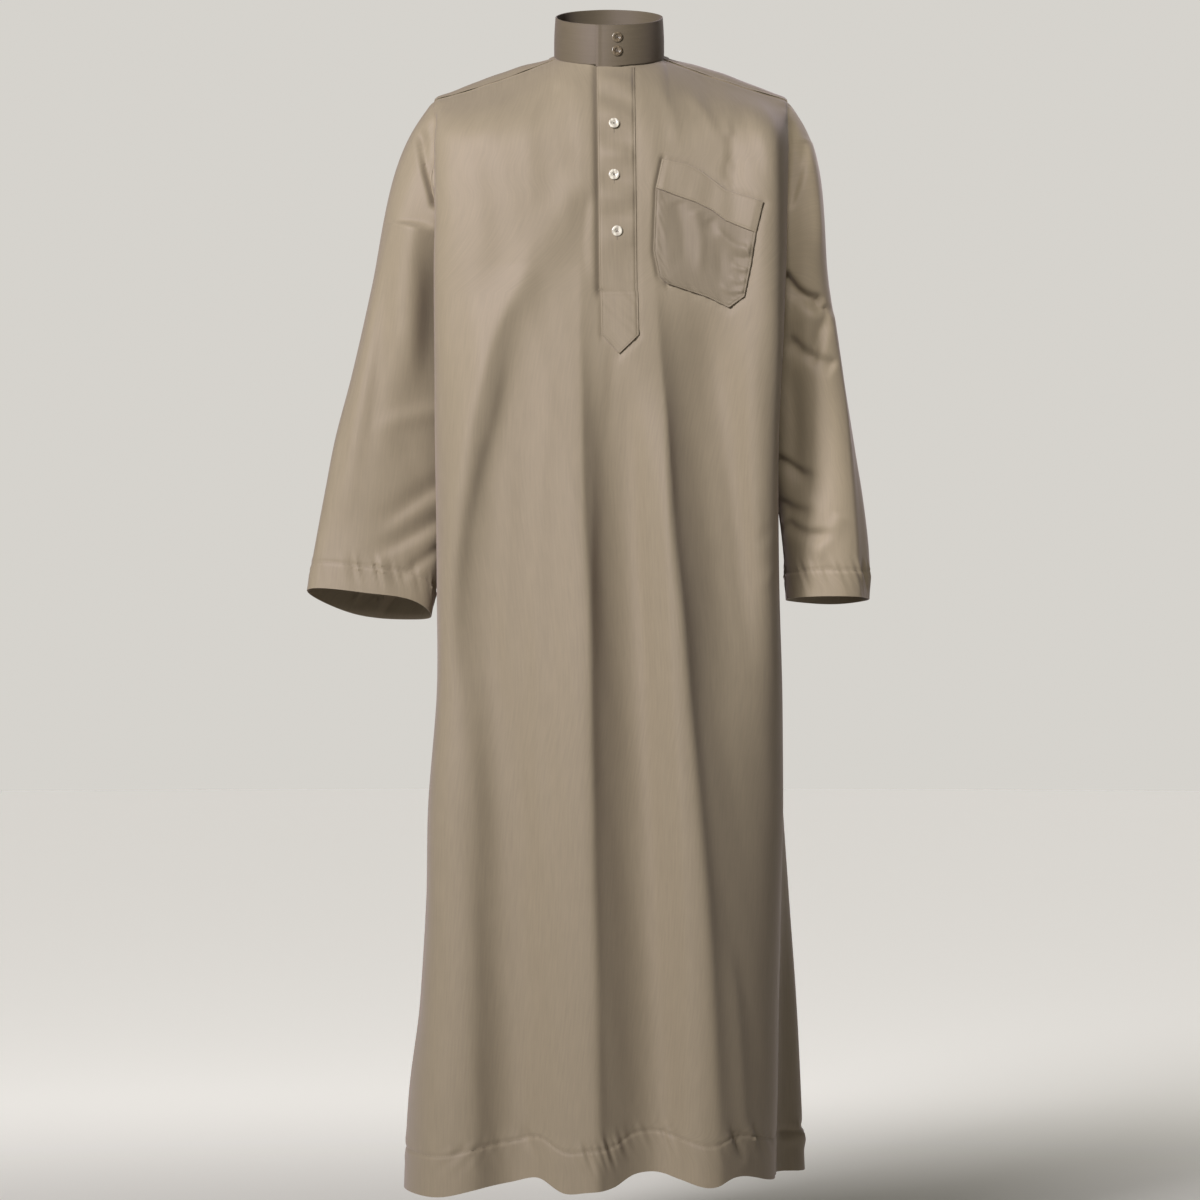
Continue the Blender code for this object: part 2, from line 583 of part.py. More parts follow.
def sleeve_grid(side, ring):
    """Outer points of a sleeve: rows from the cuff up to the armhole, columns round it."""
    table = SLEEVE_LEFT if side == "left" else SLEEVE_RIGHT
    tilt = CUFF_TILT[side]
    sign = 1.0 if side == "left" else -1.0
    half = len(ring) // 2
    turns = ring_turns(ring, half)
    start = ring * np.array([sign, 1.0, 1.0]) + np.array([GAP, 0.0, 0.0])
    outness = 0.5 * (1 + np.cos(turns))
    bicep_z = (-345 + 55 * outness) * MM
    bicep = sleeve_section(table, tilt, turns, bicep_z, 0.0)
    below = sleeve_section(table, tilt, turns, bicep_z - 0.03, 0.0)
    arrive = below - bicep
    arrive /= np.linalg.norm(arrive, axis=1, keepdims=True)
    span = np.linalg.norm(bicep - start, axis=1, keepdims=True)
    away = np.radians(88 - 42 * soft_step(outness * 1.6))[:, None]
    leave = np.concatenate([np.cos(away), 0 * away, -np.sin(away)], axis=1)
    head_rows = int(round(SLEEVE_ROWS * BICEP_SHARE))
    head_t = np.linspace(0.0, 1.0, head_rows + 1)[:, None, None]
    head = bezier(start[None], (start + leave * span * 0.36)[None],
                  (bicep - arrive * span * 0.34)[None], bicep[None], head_t)
    arm_share = np.linspace(0.0, 1.0, SLEEVE_ROWS - head_rows)[1:, None]
    cuff_z = table["z"][0] * MM
    arm_z = bicep_z[None] + (cuff_z - bicep_z[None]) * arm_share
    arm = sleeve_section(table, tilt, turns[None], arm_z, arm_share)
    grid = np.concatenate([head, arm], axis=0)[::-1].copy()
    lift = crease_height(SLEEVE_CREASES[side], turns[None], grid[..., 2])
    fade = soft_step(np.linalg.norm(grid - start[None], axis=2) / (40 * MM))
    grid[..., 0] *= sign
    if side == "left":
        grid = grid[:, ::-1]
        lift = lift[:, ::-1]
        fade = fade[:, ::-1]
    normal = grid_normals(grid, wrap=True)
    return grid + normal * (lift * fade)[..., None]


def mitre(panel, sleeve):
    """Where a panel and a sleeve face nearly the same way, both take their mean normal."""
    alike = soft_step(((panel * sleeve).sum(axis=-1, keepdims=True) - 0.2) / 0.5)
    mean = panel + sleeve
    mean = mean / np.maximum(np.linalg.norm(mean, axis=-1, keepdims=True), 1e-6)
    panel = panel + (mean - panel) * alike
    sleeve = sleeve + (mean - sleeve) * alike
    return (panel / np.linalg.norm(panel, axis=-1, keepdims=True),
            sleeve / np.linalg.norm(sleeve, axis=-1, keepdims=True))


def build_sleeve(side, grids, normals, finish):
    """A sleeve from its armhole; the panels' normals along the armhole are mitred with it."""
    grid = sleeve_grid(side, armhole_ring(side, *grids))
    outward = grid_normals(grid, wrap=True)
    ring = armhole_ring(side, *normals)
    order = slice(None) if side == "right" else slice(None, None, -1)
    panel, outward[-1] = mitre(ring[order], outward[-1])
    give_ring(side, panel[order], *normals)
    inner = grid - outward * WALL
    points, shell = close_wall(grid.reshape(-1, 3), inner.reshape(-1, 3),
                               grid_faces(grid, wrap=True))
    return add_piece("sleeve_" + side, points, shell, finish)


# ---- collar -------------------------------------------------------------------------------
COLLAR_STEPS = 46
UNDER_END = math.radians(24)     # the hidden end, on the wearer's left of the middle
OVER_END = math.radians(-13.5)   # the free end, on the wearer's right of the middle
LAP = 2.2 * MM                   # from the under layer's face to the over layer's
FLAP_DROP = 2.4 * MM             # the free end hangs below the neckline


def collar_grid(inset):
    """The band's points: along it from the hidden end, round the back, to the free end.

    Each point is the neckline's ellipse, grown by an offset that rises along the band, moved
    up the band's height; the band leans in a little towards its top.
    """
    share = np.linspace(0.0, 1.0, COLLAR_STEPS + 1)
    angle = UNDER_END + (OVER_END - UNDER_END - 2 * math.pi) * share
    proud = (1.0 * MM - inset + LAP * soft_step((share - 0.70) / 0.18))[None, :]
    heights = np.linspace(0.0, 1.0, 4)[:, None]
    drop = FLAP_DROP * soft_step((share - 0.90) / 0.09)[None, :]
    lean = -1.6 * MM * heights
    x = (NECK_HALF_WIDTH + proud + lean) * np.sin(angle)[None, :]
    y = -(NECK_HALF_DEPTH + proud + lean) * np.cos(angle)[None, :]
    base = NECK_TILT * y + GAP - drop * (1 - heights)
    z = base + COLLAR_HEIGHT * heights
    return np.stack([x, y, z], axis=-1)


def build_collar(finish):
    grid = collar_grid(0.0)[:, ::-1]
    inner = collar_grid(COLLAR_WALL)[:, ::-1]
    faces = grid_faces(grid)
    points, shell = close_wall(grid.reshape(-1, 3), inner.reshape(-1, 3), faces)
    return add_piece("collar_band", points, shell, finish)


# ---- pieces that lie on the front ---------------------------------------------------------
def cloth_tree(piece):
    """A search tree over a piece's own triangles."""
    mesh = piece.data
    mesh.calc_loop_triangles()
    points = [vertex.co.copy() for vertex in mesh.vertices]
    return BVHTree.FromPolygons(points, [tuple(tri.vertices) for tri in mesh.loop_triangles])


def onto_cloth(tree, flat):
    """Points and normals of the cloth's front at flat places (x, z), found by looking along +Y."""
    spots = flat.reshape(-1, 2)
    points = np.empty((len(spots), 3))
    normals = np.empty((len(spots), 3))
    for number, (x, z) in enumerate(spots):
        hit, normal, _, _ = tree.ray_cast(Vector((x, -1.0, z)), Vector((0.0, 1.0, 0.0)))
        points[number] = hit
        normals[number] = normal
    return points.reshape(*flat.shape[:-1], 3), normals.reshape(*flat.shape[:-1], 3)


def patch(name, flat, tree, thickness, swell, finish):
    """A piece that lies on the front: its flat grid is laid on the cloth and given thickness."""
    base, _ = onto_cloth(tree, flat)
    normal = grid_normals(base)
    inner = base + normal * (ON_CLOTH + swell[..., None])
    outer = inner + normal * thickness
    faces = grid_faces(outer)
    points, shell = close_wall(outer.reshape(-1, 3), inner.reshape(-1, 3), faces)
    return add_piece(name, points, shell, finish)


def along_line(corners, share):
    """Places along a line of corners (x, z in millimetres), by share of its length."""
    corners = np.asarray(corners, float) * MM
    run = np.concatenate([[0.0], np.cumsum(np.linalg.norm(np.diff(corners, axis=0), axis=1))])
    wanted = np.asarray(share) * run[-1]
    return np.stack([np.interp(wanted, run, corners[:, 0]),
                     np.interp(wanted, run, corners[:, 1])], axis=-1)


def four_sided(foot, head, first, last, rows, columns):
    """Flat grid filled in between four edges: the mean of the two ruled fills less the corners'
    fill."""
    p = np.linspace(0.0, 1.0, columns)
    q = np.linspace(0.0, 1.0, rows)
    low = along_line(foot, p)[None]
    high = along_line(head, p)[None]
    left = along_line(first, q)[:, None]
    right = along_line(last, q)[:, None]
    q = q[:, None, None]
    p = p[None, :, None]
    corners = ((1 - q) * ((1 - p) * low[:, :1] + p * low[:, -1:])
               + q * ((1 - p) * high[:, :1] + p * high[:, -1:]))
    return (1 - q) * low + q * high + (1 - p) * left + p * right - corners


def build_placket(tree, front_grid, finish):
    """The strip: rows from the pointed end up to the collar, its edges from the table.

    Above the pointed end the rows follow the front's own rows, with one more between each two,
    so that the strip bends where the front does.
    """
    across = np.linspace(0.0, 1.0, PLACKET_COLUMNS)
    levels = front_grid[:, front_grid.shape[1] // 2, 2] / MM
    head_z = PLACKET_EDGE["z"][0] - 3.0
    corner_z = PLACKET_EDGE["z"][-1]
    levels = levels[(levels > corner_z + 8) & (levels < head_z - 6)]
    levels = np.concatenate([[corner_z], levels, [head_z]])
    levels = np.sort(np.concatenate([levels, 0.5 * (levels[1:] + levels[:-1])]))
    up = ((levels - levels[0]) / (levels[-1] - levels[0]))[:, None]
    foot = (PLACKET_TIP_Z - corner_z) * (1 - np.abs(2 * across - 1))
    z = corner_z + (head_z - corner_z) * up + foot[None] * (1 - up) ** 4
    edge_z = PLACKET_EDGE["z"][::-1]
    left = np.interp(z, edge_z, PLACKET_EDGE["left"][::-1])
    right = np.interp(z, edge_z, PLACKET_EDGE["right"][::-1])
    flat = np.stack([right + (left - right) * across[None], z], axis=-1) * MM
    return patch("placket", flat, tree, TRIM_WALL, np.zeros(z.shape), finish)


def build_pocket(tree, finish):
    """The bag and its band, side by side with a seam gap between them."""
    gap = np.array([0.0, 0.5 * GAP])
    band = four_sided(POCKET_BAND_FOOT, POCKET_BAND_TOP,
                      (POCKET_BAND_FOOT[0], POCKET_BAND_TOP[0]),
                      (POCKET_BAND_FOOT[-1], POCKET_BAND_TOP[-1]), 4, 12)
    band[0] += gap
    patch("chest_pocket_band", band, tree, BAND_WALL, np.zeros(band.shape[:2]), finish)
    bag = four_sided(POCKET_BAG_FOOT, POCKET_BAND_FOOT, POCKET_BAG_LEFT[::-1],
                     POCKET_BAG_RIGHT[::-1], 11, 12)
    bag[-1] -= gap
    p = np.linspace(0.0, 1.0, 12)[None]
    q = np.linspace(0.0, 1.0, 11)[:, None]
    swell = BAG_SWELL * np.sin(math.pi * p) * np.sin(0.5 * math.pi * np.minimum(1.0, 1.15 * q))
    swell = swell * soft_step((1.0 - q) * 4.0 + 0.25)
    patch("chest_pocket", bag, tree, TRIM_WALL, swell, finish)


# ---- buttons ------------------------------------------------------------------------------
def build_button(name, centre, facing, finish):
    """A turned button: flat back, raised rim and dished face, standing on the cloth."""
    profile = np.array([(0.0, 0.0), (0.74, 0.0), (1.0, 0.34), (1.0, 0.72), (0.90, 1.0),
                        (0.78, 1.0), (0.66, 0.70), (0.0, 0.58)])
    ring = 16
    turn = 2 * math.pi * np.arange(ring) / ring
    facing = np.asarray(facing) / np.linalg.norm(facing)
    across = np.cross((0.0, 0.0, 1.0), facing)
    across = across / np.linalg.norm(across)
    up = np.cross(facing, across)
    points = []
    for radius, height in profile[1:-1] * (BUTTON_RADIUS, BUTTON_HEIGHT):
        circle = radius * (np.cos(turn)[:, None] * across + np.sin(turn)[:, None] * up)
        points.append(centre + circle + facing * height)
    foot = centre + facing * profile[0, 1] * BUTTON_HEIGHT
    dish = centre + facing * profile[-1, 1] * BUTTON_HEIGHT
    points = np.concatenate(points + [foot[None], dish[None]])
    rings = len(profile) - 2
    faces = [tuple(int(v) for v in face)
             for face in grid_faces(points[:rings * ring].reshape(rings, ring, 3), wrap=True)]
    base = rings * ring
    faces += [(base, (k + 1) % ring, k) for k in range(ring)]
    last = (rings - 1) * ring
    faces += [(base + 1, last + k, last + (k + 1) % ring) for k in range(ring)]
    return add_piece(name, points, faces, finish)


def build_buttons(tree, collar_tree, pearl, brown):
    """Three on the placket and two on the collar's free end, each clear of what carries it."""
    for number, (x, z) in enumerate(PLACKET_BUTTONS, 1):
        seat_button("button_placket_%d" % number, tree, x, z, pearl)
    for number, (x, z) in enumerate(COLLAR_BUTTONS, 1):
        seat_button("button_collar_%d" % number, collar_tree, x, z, brown)


def seat_button(name, tree, x, z, finish):
    """Lay a button flat on the cloth in front of it: its back touches the highest of eight
    points round it, plus the gap."""
    turn = 2 * math.pi * np.arange(8) / 8
    rim = np.stack([x * MM + 0.8 * BUTTON_RADIUS * np.cos(turn),
                    z * MM + 0.8 * BUTTON_RADIUS * np.sin(turn)], axis=-1)
    points, normals = onto_cloth(tree, rim)
    facing = normals.mean(axis=0)
    facing = facing / np.linalg.norm(facing)
    middle, _ = onto_cloth(tree, np.array([[x * MM, z * MM]]))
    ahead = max(float(((points - middle[0]) @ facing).max()), 0.0)
    build_button(name, middle[0] + facing * (ahead + GAP), facing, finish)


def main():
    for stale in list(bpy.data.objects):
        bpy.data.objects.remove(stale, do_unlink=True)
    cloth = material("taupe_cloth", (0.36, 0.29, 0.21), 0.5)
    trim = material("taupe_trim", (0.38, 0.31, 0.22), 0.5)
    pearl = material("pearl_button", (0.82, 0.80, 0.76), 0.25)
    brown = material("brown_button", (0.13, 0.09, 0.06), 0.35)
    grids = panel_grid(FACE_FRONT), panel_grid(FACE_BACK)
    normals = shared_normals(*grids)
    for side in ("right", "left"):
        build_sleeve(side, grids, normals, cloth)
    front = build_front(grids[0], normals[0], cloth)
    build_back(grids[1], normals[1], cloth)
    collar = build_collar(trim)
    front_tree = cloth_tree(front)
    placket = build_placket(front_tree, grids[0], trim)
    build_pocket(front_tree, trim)
    build_buttons(cloth_tree(placket), cloth_tree(collar), pearl, brown)


main()
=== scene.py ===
"""Thobe robe: an ankle-length overshirt with a stand collar, drawn as thin sewn cloth.

Frame: +X is the wearer's left, -Y is the front, +Z is up, and the origin is the middle of the
neck opening. Tables are in millimetres and MM turns them into metres. Each cloth piece is a
closed thin wall over a grid: an outer sheet, the same sheet moved in by the cloth's thickness,
and rims along its edges.
"""

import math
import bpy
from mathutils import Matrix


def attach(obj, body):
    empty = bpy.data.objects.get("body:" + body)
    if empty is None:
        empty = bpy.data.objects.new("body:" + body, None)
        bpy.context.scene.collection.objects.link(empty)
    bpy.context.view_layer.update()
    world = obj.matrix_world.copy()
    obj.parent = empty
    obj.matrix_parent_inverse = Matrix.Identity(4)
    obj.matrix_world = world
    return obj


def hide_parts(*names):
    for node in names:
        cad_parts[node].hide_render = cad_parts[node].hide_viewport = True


bl_info = {
    "name": "Thobe robe",
    "version": (1, 0, 0),
    "blender": (4, 5, 0),
    "location": "3D View > Sidebar > Thobe",
    "description": "Builds a stand-collar thobe robe as thin sewn cloth over its solid frame",
    "category": "Add Mesh",
}

from functools import lru_cache

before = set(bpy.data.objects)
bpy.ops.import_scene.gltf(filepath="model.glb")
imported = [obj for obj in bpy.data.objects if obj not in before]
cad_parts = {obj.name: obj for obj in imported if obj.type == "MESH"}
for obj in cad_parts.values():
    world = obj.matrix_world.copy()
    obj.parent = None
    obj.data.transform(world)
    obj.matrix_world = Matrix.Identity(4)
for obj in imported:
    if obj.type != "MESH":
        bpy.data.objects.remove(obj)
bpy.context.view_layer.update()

import bpy
import numpy as np
from bpy.props import FloatProperty, FloatVectorProperty, PointerProperty

MM = 0.001

# ---- the cut, shared with the solids ------------------------------------------------------
GAP = 0.10 * MM              # air between two sewn pieces
NECK_HALF_WIDTH = 67.8 * MM
NECK_HALF_DEPTH = 64.0 * MM
NECK_TILT = 0.28             # the neckline rises this much for each metre towards the back
COLLAR_HEIGHT = 50.0 * MM
SEAM_FORWARD = 12.0 * MM     # the shoulder seams lie this far in front of the neck's middle
CHEST_Z = -120.0 * MM
ARMPIT_Z = -305.0 * MM
HEM_Z = -1405.0 * MM
HEM_RISE_Z = -1050.0 * MM
NECK_SHARE = 0.345           # how far out along a half panel the shoulder seam starts
GRAIN_SHARE = 0.80           # how much of a half panel's width stays on straight columns
GRAIN_WIDTH = 0.27           # the widest half panel that this share is taken of
HEM_DEPTH = 50.0 * MM        # turned hem at the bottom
CUFF_DEPTH = 33.0 * MM       # turned hem at the cuffs

BODY_Z = (-1405, -1290, -1180, -1050, -930, -800, -680, -480, -305, -250, -180, -120)
FRONT_SECTIONS = dict(
    z=BODY_Z,
    middle_y=(-150, -149, -148, -145, -142, -139, -136, -131, -128, -126, -122, -114),
    right_edge=(254, 249, 235, 227, 224, 214, 213, 216, 217, 217, 217, 218),
    left_edge=(206, 209, 211, 214, 216, 215, 211.5, 210, 217.5, 219.5, 221, 222.5),
    edge_y=(-50, -50, -50, -53, -56, -60, -63, -69, -73, -74, -72, -58),
)
BACK_SECTIONS = dict(
    z=BODY_Z,
    middle_y=(165, 158, 152, 147, 142, 137, 133, 126, 121, 118, 112, 102),
    right_edge=(246, 240, 230, 223, 220, 216, 208, 206, 208, 209, 212, 214),
    left_edge=(248, 243, 237, 228, 220, 217, 210, 206, 208, 209, 213, 216),
    edge_y=(58, 58, 58, 60, 62, 66, 70, 78, 82, 82, 78, 66),
)
SIDE_SEAM = dict(
    z=(-1405, -1290, -1180, -1050, -930, -800, -680, -600, -500, -420, -340, -305),
    right=(251, 244, 232, 224, 219, 208, 196, 185, 172, 170, 173.5, 180),
    left=(209, 211, 213, 215, 214, 207, 196, 185, 172, 170, 173.5, 180),
    y=(-8, -4, 2, 4, 5, 6, 8, 8, 8, 8, 6, 5),
)
ARMHOLE_Z = (-305, -280, -250, -180, -120)
ARMHOLE_FRONT = dict(
    z=ARMHOLE_Z,
    right=(180, 192, 205, 217, 218),
    left=(180, 193, 207, 221, 222.5),
    y=(5, -24, -48, -72, -58),
)
ARMHOLE_BACK = dict(
    z=ARMHOLE_Z,
    right=(180, 190, 200, 212, 214),
    left=(180, 190, 200, 213, 216),
    y=(5, 34, 58, 78, 66),
)
SHOULDER_POINT = dict(right=(218.7, -13, -55.0), left=(223.4, -13, -55.5))
SHOULDER_SLOPE = dict(right=0.425, left=0.385)
RIDGE_REACH = 42.0 * MM      # how far the back's columns reach over the shoulder seam
FRONT_REACH = 34.0 * MM      # how far the front's columns arrive from below it
NECK_REACH = 30.0 * MM       # how far both arrive from below the neckline
RIDGE = dict(run=(0, 0.25, 0.7, 1), steep=(0.36, 0.58, 0.58, 0.45), fan=(0.55, 0.15, 0.0, 0.0),
             crown=(1.06, 1.18, 1.15, 0.62))
YOKE_LEDGE = 0.8 * MM        # the back's folded edge stands this proud of the shoulder seam
FLATNESS = 0.62              # how far a plan's two ends pull its curve towards their corner
FLATTER = dict(right=(0.18, 0.0), left=(0.10, 0.30))    # added on the front: below, above more
FLATTER_Z = -970.0 * MM      # the second share of FLATTER comes in above here,
FLATTER_REACH = 600.0 * MM   # over this height
CREST_ROUND = 1.5 * MM       # radius of a long fold's crest

# Long folds, at the stations below: where the crest lies, its height, and the width of its flank
# on the wearer's left ('after'); the other flank is 'before' wide. Where 'sharp' is below 2 the
# first flank falls off at once.
FOLD_Z = (-1405, -1170, -926, -800, -680, -560, -437, -350, -270)
FRONT_FOLDS = (
    dict(crest=(126, 119, 104, 92, 86, 76, 68, 60, 54), sharp=1.2, before=80,
         height=(38, 38, 35, 30, 26, 20, 14, 8, 3), after=(48, 46, 38, 28, 24, 20, 17, 17, 20)),
    dict(crest=(-12, -15, -21, -23, -26, -32, -34, -36, -36), sharp=1.3, before=62,
         height=(32, 32, 30, 27, 22, 16, 11, 6, 2), after=(46, 44, 38, 32, 25, 18, 15, 15, 16)),
    dict(crest=(-206, -205, -204, -200, -190, -177, -160, -136, -98), sharp=1.4, before=40,
         height=(22, 22, 20, 18, 18, 18, 17, 12, 3), after=(56, 56, 50, 36, 25, 20, 19, 20, 22)),
    dict(crest=(-158, -160, -160, -160, -156, -152, -150, -150, -150), sharp=1.4, before=40,
         height=(12, 11, 7, 3, 0, 0, 0, 0, 0), after=(26,) * 9),
    dict(crest=(-60, -64, -66, -68, -70, -70, -70, -70, -70), sharp=2.0, before=30,
         height=(7, 5, 3, 1, 0, 0, 0, 0, 0), after=(22,) * 9),
    dict(crest=(210, 208, 204, 202, 200, 198, 197, 197, 198), sharp=2.0, before=36,
         height=(0, 0, 2, 6, 11, 16, 19, 20, 17), after=(20, 20, 18, 18, 16, 16, 16, 16, 16)),
)
BACK_FOLD_Z = (-1405, -1050, -650, -300)
BACK_FOLDS = (
    dict(crest=(-150, -140, -118, -100), height=(20, 16, 8, 1), before=46, after=(40, 40, 34, 30)),
    dict(crest=(-52, -48, -40, -34), height=(15, 12, 6, 1), before=36, after=(40, 38, 30, 26)),
    dict(crest=(44, 40, 30, 20), height=(18, 15, 8, 1), before=44, after=(34, 32, 28, 26)),
    dict(crest=(142, 130, 112, 96), height=(17, 14, 9, 2), before=40, after=(46, 42, 34, 30)),
)
FRONT_HEM = dict(x=(-254, -205, -165, -120, -90, -52, -28, 8, 34, 48, 84, 134, 148, 209),
                 rise=(-4, -5, 4, 12, 19, 2, 4, 10, 24, 26, 18, 11, 18, 6))
BACK_HEM = dict(x=(-251, -150, -50, 50, 150, 209, 248), rise=(-4, 10, 5, 12, 8, 6, 2))

SLEEVE_RIGHT = dict(
    z=(-686, -634, -556, -496, -405, -340, -290),
    outer=(376.5, 368.5, 355.5, 345, 322.5, 308, 297.5),
    inner=(222, 213, 200, 190, 181, 181, 182),
    middle_y=(-30, -22, -12, -6, 2, 6, 6),
    half_depth=(32, 36, 48, 58, 70, 74, 76),
    pinch=(0.10, 0.15, 0.30, 0.40, 0.45, 0.45, 0.45),
)
SLEEVE_LEFT = dict(
    z=(-681, -634, -556, -496, -405, -340, -290),
    outer=(325, 325.5, 318, 308.5, 294, 284, 276.5),
    inner=(222, 219.5, 210, 197, 182, 181, 182),
    middle_y=(-12, -10, -4, 0, 4, 6, 6),
    half_depth=(62, 63, 66, 70, 76, 78, 79),
    pinch=(0.05, 0.10, 0.25, 0.38, 0.45, 0.45, 0.45),
)
# How much higher the cuff's edge is (mm): in front, outside, and at two bumps, the second down
CUFF_TILT = dict(right=(11.5, 15.5, 7.0, 6.0), left=(4.0, 0.0, 0.0, 2.0))

PLACKET_EDGE = dict(z=(-21, -303, -304, -357), right=(-15, -11.5, -10, -9.5),
                    left=(31.5, 34.3, 35.4, 36.5))
PLACKET_TIP = (12.6, -380.0)
POCKET_BAND_TOP = ((65, -139.5), (97, -146), (114, -155.5), (143, -178), (189, -194))
POCKET_BAND_FOOT = ((57, -176), (81, -185.5), (105, -194), (126, -204), (143, -217), (180, -232))
POCKET_BAG_LEFT = ((57, -176), (54, -253), (60.5, -284), (71.5, -294))
POCKET_BAG_FOOT = ((71.5, -294), (121, -310.5), (147, -323.5), (166, -310))
POCKET_BAG_RIGHT = ((180, -232), (174, -271), (166, -310))
POCKET_INSET = 2.4 * MM      # from the pocket's edges in to their stitch lines
PLACKET_BUTTONS = ((6.0, -96.5), (6.0, -159.5), (9.6, -229.5))
SIDE_POCKET = ((195, -607), (195.5, -640), (195, -677), (199.5, -689), (206, -704))
COLLAR_BUTTONS = ((9.9, 16.5), (9.6, -0.5))

UNDER_END = math.radians(24)
OVER_END = math.radians(-13.5)
LAP = 2.2 * MM               # the free end lies this far over the hidden end
FLAP_DROP = 2.4 * MM         # and its foot hangs this much lower
COLLAR_LENGTH = 452.0 * MM
COLLAR_WALL = 1.5 * MM

# Where along the band the foot drops, the free end stands off, and its last edge is proud: the
# share where each begins, and the share over which it grows
DROP_FROM, LAP_FROM, EDGE_FROM = (0.90, 0.09), (0.70, 0.18), (0.985, 0.009)

FACE_FRONT = -1
FACE_BACK = 1

# The seed of each piece's waves that don't repeat; body, hem and side take the next for the back
SEEDS = dict(body=7, hem=21, side=31, cuff=dict(left=41, right=47), armhole=51, free_edge=61,
             box=62, bag=71, band=73, collar=81)

# ---- the flat cut of each piece: widest and longest in metres, and its area ----------------
FRONT_CUT = dict(flat=(0.760, 1.470), area=0.950)
BACK_CUT = dict(flat=(0.700, 1.500), area=0.870)
PLACKET_CUT = dict(flat=(0.047, 0.362), area=0.0166)
BAG_CUT = dict(flat=(0.127, 0.122), area=0.0128)
BAND_CUT = dict(flat=(0.140, 0.042), area=0.0054)

# ---- creases ------------------------------------------------------------------------------
# Each row is (height, before, after, fade in, fade out, path): a soft ridge, or a trough where
# its height is negative, along a path of (x, z). Its cross profile is a bell, 'after' wide on
# the wearer's left of a path drawn downwards (above a path drawn towards the wearer's left) and
# 'before' wide on the other side. It fades in over the first share of its length and out over
# the last.
FRONT_CREASES = (
    (2.8, 22, 24, 0.12, 0.4, ((-14, -146), (-50, -194), (-74, -231), (-95, -272), (-120, -320),
     (-140, -371))),
    (-2.4, 18, 9, 0.3, 0.3, ((-22, -172), (-30, -205), (-34, -250), (-26, -300))),
    (-3.6, 6, 20, 0, 0, ((150, -114), (151, -138))),
    (-2.6, 5, 14, 0, 0, ((145, -150), (146, -162))),
    (1.6, 9, 7, 0.3, 0.3, ((96, -46), (118, -80), (138, -124))),
    (1.4, 10, 8, 0.3, 0.2, ((60, -40), (76, -80), (84, -126))),
    (-1.8, 12, 9, 0.3, 0.3, ((160, -60), (172, -110), (196, -180))),
    (-1.6, 10, 12, 0.3, 0.4, ((-58, -36), (-78, -66), (-92, -106))),
    (1.5, 12, 14, 0.3, 0.4, ((-120, -52), (-150, -92), (-168, -150))),
    (1.8, 16, 18, 0.3, 0.5, ((-180, -120), (-160, -180), (-164, -300), (-176, -420))),
    (-13, 38, 34, 0.25, 0, ((-170, -540), (-160, -700), (-142, -830), (-134, -926), (-130, -1050),
     (-124, -1200), (-121, -1410))),
    (-24, 38, 34, 0.40, 0, ((10, -370), (18, -480), (28, -680), (40, -926), (52, -1170),
     (58, -1410))),
    (5, 34, 10, 0.2, 0.3, ((66, -400), (67, -480), (73, -600), (84, -700), (95, -820), (106, -960),
     (117, -1100), (125, -1260), (128, -1410))),
    (4, 30, 11, 0.2, 0, ((-21, -400), (-21, -560), (-24, -690), (-25, -820), (-24, -950),
     (-22, -1100), (-19, -1250), (-17, -1410))),
    (5, 26, 11, 0.25, 0.4, ((-130, -351), (-145, -437), (-177, -559), (-192, -682), (-197, -804))),
    (-16, 44, 26, 0.3, 0.4, ((108, -300), (126, -400), (146, -560), (164, -720), (180, -860))),
    (1.7, 14, 12, 0.3, 0.3, ((-70, -350), (-84, -560), (-88, -860), (-82, -1180))),
    (1.5, 12, 14, 0.3, 0.3, ((-112, -420), (-126, -640), (-122, -980), (-112, -1330))),
    (1.8, 12, 10, 0.3, 0.2, ((38, -400), (46, -640), (58, -900), (70, -1250))),
    (1.2, 9, 8, 0.3, 0.2, ((70, -420), (72, -640), (86, -900), (104, -1330))),
    (2.2, 16, 14, 0.3, 0.5, ((128, -340), (140, -560), (160, -760), (170, -960))),
    (2, 12, 12, 0.3, 0.4, ((172, -330), (176, -520), (186, -700))),
    (2, 9, 7, 0.4, 0, ((144, -1080), (158, -1200), (168, -1370))),
    (-1.2, 8, 9, 0.3, 0.5, ((8, -352), (2, -420), (-2, -520))),
    (-1.6, 5, 6, 0.2, 0.3, ((198, -590), (190, -602), (186, -618))),
    (1.4, 5, 6, 0.2, 0.3, ((206, -640), (196, -652), (188, -672))),
)
TRIM_GROOVES = (
    (-5, 5.5, 5, 0, 0, ((-14.0, -20), (-10.7, -303))),
    (-1.3, 3.4, 3.4, 0, 0, ((-9.2, -303), (-8.6, -357))),
    (-1.3, 3.2, 3.2, 0, 0, ((-8.6, -357), (12.6, -379))),
    (-0.3, 3, 3, 0, 0, ((33.5, -20), (36.2, -303), (37.4, -357))),
    (-1.7, 3.2, 3.2, 0, 0, ((36.8, -357), (12.6, -379))),
    (-1.6, 3, 3, 0, 0, ((66, -140), (97, -147), (114, -156), (143, -179), (189, -195))),
    (-3.2, 3.4, 3.4, 0, 0, ((66, -141), (58, -176), (55, -253), (61, -283), (72, -293))),
    (-3.2, 3.4, 3.4, 0, 0, ((72, -293), (121, -309.5), (147, -322))),
    (-2, 3, 3, 0, 0, ((147, -322), (165, -309), (173, -271), (179, -232), (188, -196))),
)
